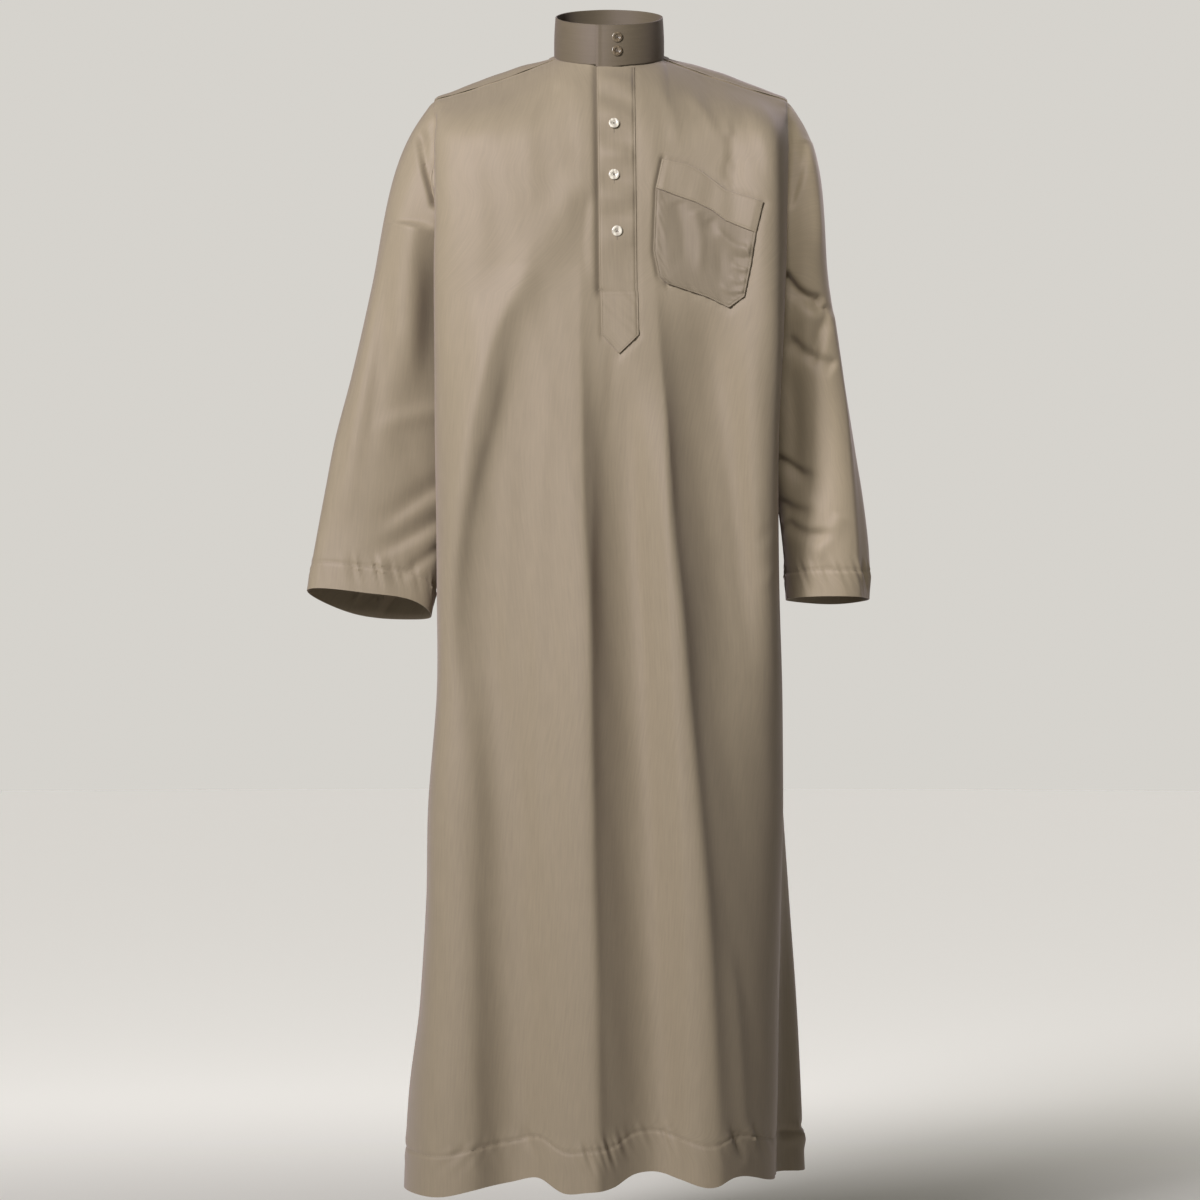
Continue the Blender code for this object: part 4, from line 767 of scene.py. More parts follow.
@lru_cache(maxsize=None)
def sleeve_grid(side):
    """Outer points and normals of a sleeve: rows from the cuff up to the armhole, columns round
    it. The head is a cubic from the armhole to the upper arm, the rest level outlines."""
    table = SLEEVE_LEFT if side == "left" else SLEEVE_RIGHT
    tilt = CUFF_TILT[side]
    sign = 1.0 if side == "left" else -1.0
    ring = armhole_ring(side)
    turns = ring_turns(ring)
    start = ring * np.array([sign, 1.0, 1.0]) + np.array([GAP, 0.0, 0.0])
    outness = 0.5 * (1 + np.cos(turns))
    bicep_z = (HEAD_FOOT[0] + HEAD_FOOT[1] * outness) * MM
    bicep = sleeve_section(table, tilt, turns, bicep_z, 0.0)
    arrive = unit(sleeve_section(table, tilt, turns, bicep_z - LOOK_DOWN, 0.0) - bicep)
    span = np.linalg.norm(bicep - start, axis=1, keepdims=True)
    away = np.radians(HEAD_LEAVES[0] - HEAD_LEAVES[1] * soft_step(outness * 1.25))[:, None]
    leave = np.concatenate([np.cos(away), 0 * away, -np.sin(away)], axis=1)
    head_t = np.concatenate([HEAD_FIRST_ROWS,
                             np.linspace(0.05, 1.0, SLEEVE_HEAD_ROWS)])[:, None, None]
    head = bezier(start[None], (start + leave * span * HEAD_PULLS[0])[None],
                  (bicep - arrive * span * HEAD_PULLS[1])[None], bicep[None], head_t)
    loose = head.copy()
    for _ in range(SLEEVE_SMOOTHING):
        inner = loose[1:-1]
        loose[1:-1] = 0.5 * inner + 0.125 * (loose[:-2] + loose[2:] + np.roll(inner, 1, axis=1)
                                             + np.roll(inner, -1, axis=1))
    head += (loose - head) * (1 - soft_step((head_t - 0.55) / 0.45))
    cuff_share = CUFF_DEPTH * 1.3 / SLEEVE_ARM_LENGTH
    arm_share = np.concatenate([
        np.linspace(0.0, 1.0 - cuff_share, SLEEVE_ARM_ROWS)[1:],
        np.linspace(1.0 - cuff_share, 1.0, SLEEVE_CUFF_ROWS)[1:]])[:, None]
    cuff_z = table["z"][0] * MM
    arm_z = bicep_z[None] + (cuff_z - bicep_z[None]) * arm_share
    arm = sleeve_section(table, tilt, turns[None], arm_z, arm_share)
    grid = np.concatenate([head, arm], axis=0)[::-1].copy()
    grid[..., 0] *= sign
    if side == "left":
        grid = grid[:, ::-1].copy()
    normal = grid_normals(grid, wrap=True)
    _, v = grid_runs(grid)
    from_seam = v[-1:] - v
    u, _ = grid_runs(np.concatenate([grid, grid[:, :1]], axis=1))
    round_share = 2 * math.pi * u[:, :-1] / u[:, -1:]
    front, back = (np.clip(face * normal[..., 1] * 1.6, 0.0, 1.0)
                   for face in (FACE_FRONT, FACE_BACK))
    x, z = grid[..., 0], grid[..., 2]
    relief = crease_field(x, z, SLEEVE_CREASES[side]) * front
    relief += crease_field(x, z, SLEEVE_BACK_CREASES[side]) * back
    relief += 0.35 * MM * np.sin(3 * round_share + 6 * v) * np.sin(5 * round_share - 19 * v + 1)
    ring_u = round_share * CUFF_RADIUS
    relief += hem_texture(ring_u, v, CUFF_DEPTH, SEEDS["cuff"][side])
    relief *= soft_step(from_seam / (12 * MM))
    gathers = uneven(ring_u, (14 * MM, 23 * MM), SEEDS["armhole"])
    relief += 0.22 * MM * gathers * bell(from_seam - 10 * MM, 8 * MM)
    relief -= 1.8 * MM * bell(from_seam - 2 * MM, 4.5 * MM) * (from_seam > 1e-6)
    grid = grid + normal * relief[..., None]
    return grid, grid_normals(grid, wrap=True)


# ---- meshes -------------------------------------------------------------------------------
def put_mesh(name, points, quads, finish, uv=None, crisp=50):
    """Put points and four-sided faces into a new object; finish is its material."""
    mesh = bpy.data.meshes.new(name)
    quads = np.ascontiguousarray(quads, dtype=np.int32)
    mesh.vertices.add(len(points))
    mesh.vertices.foreach_set("co", np.ascontiguousarray(points, dtype=np.float32).ravel())
    mesh.loops.add(quads.size)
    mesh.loops.foreach_set("vertex_index", quads.ravel())
    mesh.polygons.add(len(quads))
    mesh.polygons.foreach_set("loop_start", np.arange(0, quads.size, 4, dtype=np.int32))
    mesh.update(calc_edges=True)
    if mesh.validate():
        raise RuntimeError(name + " has bad faces")
    if uv is not None:
        layer = mesh.uv_layers.new(name="cloth")
        layer.data.foreach_set("uv", np.ascontiguousarray(uv[quads.ravel()], np.float32).ravel())
    mesh.shade_smooth()
    mesh.set_sharp_from_angle(angle=math.radians(crisp))
    mesh.materials.append(finish)
    piece = bpy.data.objects.new(name, mesh)
    bpy.context.scene.collection.objects.link(piece)
    return piece


def wall_quads(rows, columns, wrap=False):
    """Faces of a closed wall over a grid: outer sheet, inner sheet turned over, and rims."""
    count = rows * columns
    index = np.arange(count).reshape(rows, columns)
    if wrap:
        index = np.concatenate([index, index[:, :1]], axis=1)
    a, b, c, d = index[:-1, :-1], index[:-1, 1:], index[1:, 1:], index[1:, :-1]
    outer = np.stack([a, b, c, d], axis=-1).reshape(-1, 4)
    rims = [np.stack([b[0], a[0], a[0] + count, b[0] + count], axis=-1),
            np.stack([d[-1], c[-1], c[-1] + count, d[-1] + count], axis=-1)]
    if not wrap:
        rims += [np.stack([a[:, 0], d[:, 0], d[:, 0] + count, a[:, 0] + count], axis=-1),
                 np.stack([c[:, -1], b[:, -1], b[:, -1] + count, c[:, -1] + count], axis=-1)]
    return np.concatenate([outer, outer[:, ::-1] + count] + rims)


def ring_quads(rows, columns):
    """Faces between rings of points, and a cap over the first ring, of strips across it."""
    index = np.arange(rows * columns).reshape(rows, columns)
    following = np.roll(index, -1, axis=1)
    sides = np.stack([index[:-1], index[1:], following[1:], following[:-1]], axis=-1)
    step = np.arange(columns // 2 - 1)
    cap = np.stack([step, step + 1, columns - 2 - step, columns - 1 - step], axis=-1)
    return sides.reshape(-1, 4), cap


def circle(sides):
    """Angles of a ring's points."""
    return 2 * math.pi * np.arange(sides) / sides


def add_wall(name, outer, inner, finish, wrap=False):
    """A closed wall between two like grids, with arc lengths in metres as its cloth map."""
    rows, columns = outer.shape[:2]
    u, v = grid_runs(outer)
    uv = np.stack([u, v], axis=-1).reshape(-1, 2)
    points = np.concatenate([outer.reshape(-1, 3), inner.reshape(-1, 3)])
    return put_mesh(name, points, wall_quads(rows, columns, wrap), finish,
                    np.concatenate([uv, uv]))


def place(piece, node):
    """The piece rides on the garment and stands for its solid."""
    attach(piece, "root")
    if node:
        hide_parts(node)
    return piece


# ---- pieces laid on the front -------------------------------------------------------------
CHEST = (-62, 204, -440, -10)        # windows of the front: least and greatest x, then z
HIP = (150, 216, -740, -560)
LATTICE_STEP = 0.0014


@lru_cache(maxsize=None)
def front_lattice(window):
    """Depth (y) of the front over a level lattice of x and z inside a window (x and z limits in
    millimetres): each row of the panel is read at the lattice's x, then each lattice column at
    the lattice's z. Grooves under the trims' edges are left out."""
    front = body_grids()[2]
    xs = np.arange(window[0] * MM, window[1] * MM, LATTICE_STEP)
    zs = np.arange(window[2] * MM, window[3] * MM, LATTICE_STEP)
    middle = front[:, front.shape[1] // 2, 2]
    rows = front[(middle > zs[0] - 0.03) & (middle < zs[-1] + 0.06)]
    run = np.maximum.accumulate(rows[..., 0], axis=1)
    depth, height = (np.array([np.interp(xs, x, values) for x, values in zip(run, rows[..., k])])
                     for k in (1, 2))
    height = np.maximum.accumulate(height, axis=0)
    table = np.array([np.interp(zs, h, d) for h, d in zip(height.T, depth.T)])
    for _ in range(2):
        table[1:-1] = 0.25 * table[:-2] + 0.5 * table[1:-1] + 0.25 * table[2:]
        table[:, 1:-1] = 0.25 * table[:, :-2] + 0.5 * table[:, 1:-1] + 0.25 * table[:, 2:]
    return xs, zs, table


def between(grid, rows, columns):
    """Straight-line mean of a grid's four nearest entries at fractional rows and columns."""
    rows = np.clip(rows, 0, grid.shape[0] - 1.001)
    columns = np.clip(columns, 0, grid.shape[1] - 1.001)
    i, j = rows.astype(int), columns.astype(int)
    p, q = rows - i, columns - j
    if grid.ndim > 2:
        p, q = p[..., None], q[..., None]
    return ((1 - p) * ((1 - q) * grid[i, j] + q * grid[i, j + 1])
            + p * ((1 - q) * grid[i + 1, j] + q * grid[i + 1, j + 1]))


def on_front(x, z, height, window=CHEST):
    """Points of the front at flat places (x, z), moved out along its normal by height, and the
    normals."""
    xs, zs, table = front_lattice(window)
    steps = xs[1] - xs[0], zs[1] - zs[0]
    at = (x - xs[0]) / steps[0], (z - zs[0]) / steps[1]
    slope_x, slope_z = (between(slope, *at) for slope in np.gradient(table, *steps))
    normal = unit(np.stack([slope_x, -np.ones_like(slope_x), slope_z], axis=-1))
    base = np.stack([x, between(table, *at), z], axis=-1)
    return base + normal * np.asarray(height)[..., None], normal


def along_line(corners, share):
    """Places along a line of corners (x, z in millimetres), by share of its length."""
    corners = np.asarray(corners, float) * MM
    run = running_length(corners)
    return read_line(corners, run, share * run[-1])


def four_sided(foot, head, first, last, p, q):
    """Flat grid filled in between four edges: the mean of the two ruled fills less the corners'
    fill. p and q are the shares along the rows and up the columns."""
    low, high = along_line(foot, p)[None], along_line(head, p)[None]
    left, right = along_line(first, q)[:, None], along_line(last, q)[:, None]
    p, q = p[None, :, None], q[:, None, None]
    corners = ((1 - q) * ((1 - p) * low[:, :1] + p * low[:, -1:])
               + q * ((1 - p) * high[:, :1] + p * high[:, -1:]))
    return (1 - q) * low + q * high + (1 - p) * left + p * right - corners


def edge_shares(length, fine, coarse):
    """Shares from 0 to 1 with steps of 'fine' within 3 mm of both ends and 'coarse' between."""
    edge = 3 * MM
    ends = np.arange(0.0, edge, fine)
    middle = np.linspace(edge, length - edge, max(int((length - 2 * edge) / coarse), 2) + 1)
    return np.concatenate([ends, middle, length - ends[::-1]]) / length


def rounded(distance, radius):
    """Thickness share near an edge: a quarter round of the given radius, never below 0.12."""
    t = np.clip(1 - distance / radius, 0.0, 1.0)
    return np.maximum(np.sqrt(1 - t * t), 0.12)


def flat_runs(x, z):
    """Arc lengths along the rows and up the columns of a flat grid, and the distance of each of
    its points from the nearest of its four sides."""
    u, v = grid_runs(np.stack([x, 0 * x, z], axis=-1))
    return u, v, np.minimum(np.minimum(u, u[:, -1:] - u), np.minimum(v, v[-1:] - v))


def placket_edges(z):
    """The strip's edges (x, metres) at heights z: on the wearer's right and left."""
    stations = PLACKET_EDGE["z"][::-1]
    return (np.interp(z / MM, stations, PLACKET_EDGE[side][::-1]) * MM
            for side in ("right", "left"))


PLACKET_HEAD_Z = -20.6 * MM
PLACKET_CORNER_Z = -357.0 * MM
PLACKET_BOX_Z = (-304.5, -310.0)     # mm: the two stitch lines across the strip
PLACKET_WALL = 1.3 * MM
PLACKET_INSET = 2.4          # mm from its long edges in to their stitch lines,
PLACKET_STITCH = 2.2 * MM    # and from its outline in to where the cloth is pulled down
PLACKET_FREE_Z = -0.305      # the free edge ends here,
PLACKET_CALM_Z = -0.313      # and the puffs here
# (height in mm, z in metres, reach in mm) of the puffs between the buttons and the dips at
# them, and then of the places where the free edge stands off
PLACKET_PUFFS = ((3.4, -0.040, 13), (2.6, -0.082, 12), (2.6, -0.133, 12), (2.6, -0.186, 13),
                 (1.8, -0.236, 16), (-1.2, -0.060, 8), (-0.9, -0.113, 8), (-0.9, -0.163, 7),
                 (-0.7, -0.209, 7))
PLACKET_FREE = ((2.0, -0.094, 22), (1.8, -0.262, 36), (1.0, -0.177, 20))


def bell_row(z, bells):
    """Sum of bells up a line, each with its height, its place and its width (millimetres)."""
    return sum(height * bell(z - middle, width * MM) for height, middle, width in bells)


def placket_height(x, z, edge):
    """Height of the strip's face over the front: the wall with rounded edges, soft puffs
    between the buttons, a lifted free edge, and pulled-in stitch lines."""
    right, left = placket_edges(np.maximum(z, PLACKET_CORNER_Z))
    across = np.clip((x - right) / (left - right), 0.0, 1.0)
    puff = 1.4 * bell_row(z + 0.10 * (x - right), PLACKET_PUFFS) * MM
    puff = puff * np.sin(math.pi * np.clip(0.10 + 0.86 * across, 0, 1))
    free = (bell_row(z, PLACKET_FREE) + 0.7) * MM * (1 - across) ** 2.2
    free = free * soft_step((z - PLACKET_FREE_Z) / (8 * MM))
    wave = 0.16 * MM * uneven(z + 0.3 * x, (9 * MM, 15 * MM, 24 * MM), SEEDS["free_edge"])
    wave = wave * bell(x - left + 4 * MM, 5 * MM)
    calm = soft_step((z - PLACKET_CALM_Z) / (20 * MM))
    box = 0.25 * MM * uneven(x + z, (13 * MM, 19 * MM), SEEDS["box"]) * (1 - calm)
    line = 0.8 * MM
    stitched = (0.5 * bell(x - left + PLACKET_INSET * MM, line)
                + 0.6 * bell(edge - PLACKET_STITCH, line))
    stitched = stitched + sum(bell(z - level * MM, line) for level in PLACKET_BOX_Z)
    sewn = soft_step((left - x) / (5 * MM))
    lift = 0.25 * MM + (puff * calm + free + box) * (0.2 + 0.8 * sewn)
    wall = PLACKET_WALL * (0.32 + 0.68 * sewn)
    return lift + wave + wall * rounded(edge, 0.7 * MM) - 0.32 * MM * stitched, lift


def placket_flat():
    """Flat grid of the strip: straight rows, whose ends follow its edges, and below the corners
    rows that narrow down to the point."""
    tip = np.array(PLACKET_TIP) * MM
    across = edge_shares(45 * MM, 0.35 * MM, 1.4 * MM)
    z = np.concatenate([np.linspace(tip[1] + 0.4 * MM, PLACKET_CORNER_Z, 16)[:-1],
                        np.arange(PLACKET_CORNER_Z, PLACKET_HEAD_Z - 2.0 * MM, 1.7 * MM),
                        PLACKET_HEAD_Z - np.array([1.2, 0.5, 0.0]) * MM])
    right, left = placket_edges(np.maximum(z, PLACKET_CORNER_Z))
    narrow = np.clip((z - tip[1]) / (PLACKET_CORNER_Z - tip[1]), 0.0, 1.0)
    right, left = tip[0] + (right - tip[0]) * narrow, tip[0] + (left - tip[0]) * narrow
    x = right[:, None] + (left - right)[:, None] * across[None]
    return x, np.repeat(z[:, None], len(across), axis=1)


def build_placket(finish):
    """The strip as a wall: its face at the height over the front that placket_height states, and
    its back 0.1 mm over the front and seven tenths of the lift more, but 0.08 mm or further
    below the face."""
    x, z = placket_flat()
    height, lift = placket_height(x, z, flat_runs(x, z)[2])
    outer, _ = on_front(x, z, height)
    inner, _ = on_front(x, z, np.minimum(0.1 * MM + 0.7 * lift, height - 0.08 * MM))
    return add_wall("placket_cloth", outer, inner, finish)


def pocket_grids():
    """Flat grids of the bag and of its band."""
    width, bag_height, band_height = (edge_shares(length * MM, 0.4 * MM, 1.7 * MM)
                                      for length in (126, 118, 38))
    bag = four_sided(POCKET_BAG_FOOT, POCKET_BAND_FOOT, POCKET_BAG_LEFT[::-1],
                     POCKET_BAG_RIGHT[::-1], width, bag_height)
    band = four_sided(POCKET_BAND_FOOT, POCKET_BAND_TOP,
                      (POCKET_BAND_FOOT[0], POCKET_BAND_TOP[0]),
                      (POCKET_BAND_FOOT[-1], POCKET_BAND_TOP[-1]), width, band_height)
    return bag, band


@lru_cache(maxsize=None)
def pocket_surfaces():
    """Outer and inner points and normals of the bag and of its band. The bag, stitched down on
    three sides, bulges a little, sags under the band on the wearer's left, and puckers along its
    stitching; the band is folded over its mouth."""
    bag, band = (grid.transpose(2, 0, 1) for grid in pocket_grids())
    u, v, edge = flat_runs(*bag)
    sewn = np.minimum(np.minimum(u, u[:, -1:] - u), v)
    swell = 2.6 * MM * np.sin(math.pi * (u / u[:, -1:])) ** 0.8 * soft_step(sewn / (34 * MM))
    pucker = uneven(u + 0.5 * v, (8 * MM, 13 * MM, 21 * MM), SEEDS["bag"])
    relief = crease_field(*bag, POCKET_CREASES) + 0.70 * MM * pucker * bell(sewn - 5 * MM, 6 * MM)
    stitched = bell(sewn - POCKET_INSET, 0.9 * MM)
    lift = 0.2 * MM + np.maximum(swell + relief, 0.0) * soft_step(sewn / (5 * MM))
    height = lift + 1.3 * MM * rounded(edge, 0.8 * MM) - 0.45 * MM * stitched
    outer, normal = on_front(*bag, height)
    surfaces = [(outer, on_front(*bag, 0.1 * MM + 0.7 * lift)[0], normal)]
    u, v, edge = flat_runs(*band)
    wave = 0.35 * MM * uneven(u, (31 * MM, 47 * MM), SEEDS["band"])
    sides = soft_step(np.minimum(u, u[:, -1:] - u) / (9 * MM))
    stand = 0.3 * MM + (1.3 * MM + 1.8 * MM * np.sin(math.pi * u / u[:, -1:])) * sides
    lift = stand * (1 - 0.6 * v / v[-1:]) + wave * soft_step(edge / (6 * MM))
    stitched = bell(v - 2.2 * MM, 0.8 * MM) + 0.6 * bell(v[-1:] - v - POCKET_INSET, 0.8 * MM)
    height = lift + (1.1 + 0.8 * sides) * MM * rounded(edge, 1.0 * MM) - 0.40 * MM * stitched
    outer, normal = on_front(*band, height)
    return surfaces + [(outer, on_front(*band, 0.1 * MM + 0.5 * lift)[0], normal)]


def build_pocket(bag_finish, band_finish):
    """The bag and its band as walls."""
    return [add_wall(name, outer, inner, finish) for name, finish, (outer, inner, _)
            in zip(("chest_pocket_bag", "chest_pocket_welt"), (bag_finish, band_finish),
                   pocket_surfaces())]


def pocket_runs(pitch):
    """Stitch runs 2.4 mm inside the bag's foot and sides, and inside the band's foot and
    sides."""
    inset = POCKET_INSET
    runs = []
    for outer, _, normal in pocket_surfaces():
        turned = outer.transpose(1, 0, 2), normal.transpose(1, 0, 2)
        for points, facing in (level_line(outer, normal, inset), level_line(*turned, inset),
                               level_line(*turned, inset, from_top=True)):
            whole = np.linalg.norm(np.diff(points, axis=0), axis=1).sum()
            runs.append(spaced(points, facing, pitch, inset, whole - inset))
    return runs


# ---- the collar ---------------------------------------------------------------------------
def collar_place(share, height, inset):
    """A place on the band: 'share' along it from the hidden end round the back to the free end,
    'height' up it. The neckline's ellipse is grown by an offset that rises along the band,
    leans in a little and barrels out at mid height; the free end hangs a little lower."""
    angle = UNDER_END + (OVER_END - UNDER_END - 2 * math.pi) * share
    dropped, stood_off, proud_edge = (soft_step((share - begin) / grown)
                                      for begin, grown in (DROP_FROM, LAP_FROM, EDGE_FROM))
    waves = uneven(share * 0.41, (0.043, 0.071, 0.117), SEEDS["collar"])
    waves = 0.35 * MM * waves * height
    barrel = 0.7 * MM * np.sin(math.pi * height) + waves
    proud = 1.0 * MM - inset + LAP * stood_off
    proud = proud - 1.6 * MM * height + barrel + 0.8 * MM * proud_edge
    x = (NECK_HALF_WIDTH + proud) * np.sin(angle)
    y = -(NECK_HALF_DEPTH + proud) * np.cos(angle)
    z = NECK_TILT * y + GAP - FLAP_DROP * dropped * (1 - height) + COLLAR_HEIGHT * height
    return np.stack([x, y, z], axis=-1)


def build_collar(finish):
    """The band as a wall 1.5 mm thick, whose edges are rounded like a turned fold."""
    wall, length = COLLAR_WALL, COLLAR_LENGTH
    share = edge_shares(length, 0.35 * MM, 1.8 * MM)[None, :]
    height = edge_shares(COLLAR_HEIGHT, 0.35 * MM, 1.5 * MM)[:, None]
    edge = np.minimum(np.minimum(share, 1 - share) * length,
                      np.minimum(height, 1 - height) * COLLAR_HEIGHT)
    half = 0.5 * wall * rounded(edge, 0.75 * MM)
    outer, inner = (collar_place(share, height, 0.5 * wall + way * half)[:, ::-1]
                    for way in (-1, 1))
    return add_wall("collar_cloth", outer, inner, finish)


# ---- stitches -----------------------------------------------------------------------------
def level_line(grid, normal, distance, from_top=False, wrap=False):
    """The line of a grid at an arc distance up its columns, and the normals along it."""
    if wrap:
        grid = np.concatenate([grid, grid[:, :1]], axis=1)
        normal = np.concatenate([normal, normal[:, :1]], axis=1)
    _, v = grid_runs(grid)
    wanted = v[-1] - distance if from_top else np.full(v.shape[1], distance)
    index = np.arange(v.shape[0], dtype=float)
    rows = np.array([np.interp(w, run, index) for w, run in zip(wanted, v.T)])
    columns = np.arange(grid.shape[1], dtype=float)
    return between(grid, rows, columns), between(normal, rows, columns)


def spaced(points, normals, pitch, start=0.0, end=None):
    """A line's points, normals and directions at an even pitch."""
    run = running_length(points)
    end = run[-1] if end is None else end
    count = max(int((end - start) / pitch), 1)
    wanted = start + (np.arange(count) + 0.5) * (end - start) / count
    ahead, back = (read_line(points, run, wanted + way * 0.4 * pitch) for way in (1, -1))
    return (read_line(points, run, wanted), unit(read_line(normals, run, wanted)),
            unit(ahead - back))


# A stitch's sections: place along it, width and height, as shares of its length and radius
SPINDLE = np.array([(-0.5, 0.35, -0.7), (-0.36, 0.9, 0.15), (0.0, 1.0, 0.55),
                    (0.36, 0.9, 0.15), (0.5, 0.35, -0.7)])


def add_stitches(name, runs, finish, length=2.3 * MM, radius=0.24 * MM):
    """Joined thread stitches: each is a six-sided spindle along its run, highest in its middle,
    whose ends dip into the cloth. runs are (points, normals, directions)."""
    middle, facing, along = (np.concatenate(parts) for parts in zip(*runs))
    across = np.cross(facing, along)
    turn = math.pi / 3 * np.arange(6)
    run = np.repeat(SPINDLE[:, 0], 6) * length
    wide = (SPINDLE[:, 1:2] * np.cos(turn)).ravel() * radius
    high = (SPINDLE[:, 1:2] * np.sin(turn) + SPINDLE[:, 2:3]).ravel() * radius
    points = (middle[:, None] + along[:, None] * run[None, :, None]
              + across[:, None] * wide[None, :, None] + facing[:, None] * high[None, :, None])
    index = np.arange(30).reshape(5, 6)
    following = np.roll(index, -1, axis=1)
    sides = np.stack([index[:-1], following[:-1], following[1:], index[1:]], axis=-1)
    caps = np.array([(3, 2, 1, 0), (5, 4, 3, 0), (24, 25, 26, 27), (24, 27, 28, 29)])
    quads = np.concatenate([sides.reshape(-1, 4), caps])
    every = (quads[None] + 30 * np.arange(len(middle))[:, None, None]).reshape(-1, 4)
    return put_mesh(name, points.reshape(-1, 3), every, finish, crisp=80)


def chest_run(corners, pitch, height):
    """An even run of stitches along flat corners (x, z in millimetres) on the front, at the
    height over it that the given function of x and z states."""
    line = along_line(corners, np.linspace(0, 1, 240))
    return spaced(*on_front(*line.T, height(*line.T)), pitch)


# ---- buttons ------------------------------------------------------------------------------
BUTTON_PROFILE = np.array([
    (0.02, 0.75), (0.12, 0.75), (0.26, 0.78), (0.36, 0.92), (0.43, 1.30), (0.51, 1.80),
    (0.62, 2.12), (0.76, 2.20), (0.89, 2.05), (0.97, 1.70), (1.00, 1.30), (0.985, 0.85),
    (0.93, 0.42), (0.80, 0.12), (0.60, 0.0), (0.02, 0.0)])      # share of the radius, height in mm
BUTTON_DISH = 5              # the profile's knots before this one make the dish
BUTTON_RINGS, BUTTON_SIDES = 64, 56
HOLE_PLACE = 0.15            # the four holes' places and width, as shares of the radius
HOLE_WIDTH = 0.08


def button_axes(middle, facing):
    """Middle and axes (across, up, out) of a button at a place, given the way that it faces."""
    across = unit(np.cross(facing, (0.0, 0.0, 1.0)))
    return middle, across, np.cross(across, facing), facing


def button_frame(x, z, height):
    """Middle and axes of a button on the front."""
    middle, facing = on_front(np.array([x]), np.array([z]), np.array([height]))
    return button_axes(middle[0], facing[0])


def collar_frame(x, z):
    """Middle and axes of a button on the collar's free end."""
    share = np.linspace(0.93, 1.0, 200)
    height = np.linspace(0.0, 1.0, 120)
    face = collar_place(share[None], height[:, None], 0.0)
    near = np.argmin((face[..., 0] - x) ** 2 + (face[..., 2] - z) ** 2)
    middle = face.reshape(-1, 3)[near]
    facing = (middle[0] / NECK_HALF_WIDTH ** 2, middle[1] / NECK_HALF_DEPTH ** 2, 0.02)
    return button_axes(middle, unit(np.array(facing)))


def add_button(name, frame_of, radius, finish):
    """A turned button with four holes: a profile of (radius, height) carried round the axis.
    Its face is dished inside a raised rim, and each hole is a pit in the dish."""
    middle, across, up, facing = frame_of
    knots = np.arange(len(BUTTON_PROFILE))
    t = np.linspace(0, knots[-1], BUTTON_RINGS)
    ring_r = through(knots, BUTTON_PROFILE[:, 0], t) * radius
    ring_h = through(knots, BUTTON_PROFILE[:, 1], t) * MM
    turn = circle(BUTTON_SIDES)
    px = ring_r[:, None] * np.cos(turn)
    py = ring_r[:, None] * np.sin(turn)
    high = np.repeat(ring_h[:, None], len(turn), axis=1)
    face = (t < BUTTON_DISH)[:, None]
    for sx in (-1, 1):
        for sy in (-1, 1):
            away = np.hypot(px - sx * HOLE_PLACE * radius, py - sy * HOLE_PLACE * radius)
            high = high - face * 0.65 * MM * bell(away, HOLE_WIDTH * radius) ** 0.8
    points = (middle + px[..., None] * across + py[..., None] * up + high[..., None] * facing)
    sides, first = ring_quads(BUTTON_RINGS, BUTTON_SIDES)
    last = first[:, ::-1] + (BUTTON_RINGS - 1) * BUTTON_SIDES
    quads = np.concatenate([sides, first, last])[:, ::-1]
    return put_mesh(name, points.reshape(-1, 3), quads, finish, crisp=70)


def thread_runs(frame_of, radius):
    """Two bars of thread across a button's holes, three strands each."""
    middle, across, up, facing = frame_of
    side, strand = np.repeat((-1, 1), 3)[:, None], np.tile((-1, 0, 1), 2)[:, None]
    strands = (middle + facing * 0.95 * MM
               + across * (side * HOLE_PLACE * radius + strand * 0.26 * MM))
    return strands, np.repeat(facing[None], 6, 0), np.repeat(up[None], 6, 0)


# ---- finishes -----------------------------------------------------------------------------
DYE_SPREAD = 0.06            # the dye is this share paler and darker than its colour
PALE_AIR = (0.67, 0.65, 0.61)
FLOOR_Z = -1.52
FLOOR_MIDDLE = (0.0, -2.3, FLOOR_Z)    # the floor keeps its own colour round here,
FLOOR_FADE = (2.2, 4.4)                # up to the first distance, and is palest past the second


def fill(tree, node, values):
    """Set a node's sockets: an output of another node is joined on, other values are put in."""
    for socket, value in values.items():
        if isinstance(value, bpy.types.NodeSocket):
            tree.links.new(value, node.inputs[socket])
        else:
            node.inputs[socket].default_value = value


def add_node(tree, kind, output, values, **settings):
    """A new shader node with its settings and its sockets' values; returns the named output."""
    node = tree.nodes.new("ShaderNode" + kind)
    for name, value in settings.items():
        setattr(node, name, value)
    fill(tree, node, values)
    return node.outputs[output]


def add_ramp(tree, factor, low, high, start=0.0, end=1.0):
    """A ramp over a factor: one colour up to its start, and another from its end on."""
    ramp = tree.nodes.new("ShaderNodeValToRGB")
    for element, position, colour in zip(ramp.color_ramp.elements, (start, end), (low, high)):
        element.position = position
        element.color = (*colour, 1.0)
    fill(tree, ramp, {"Fac": factor})
    return ramp.outputs["Color"]


def new_finish(name, values):
    """A node material whose shader's sockets hold the values; also its tree and its shader."""
    finish = bpy.data.materials.new(name)
    finish.use_nodes = True
    shader = finish.node_tree.nodes["Principled BSDF"]
    fill(finish.node_tree, shader, values)
    return finish, finish.node_tree, shader


def scaled(colour, share):
    """A colour times a share, no channel above 1."""
    return tuple(min(share * c, 1.0) for c in colour)


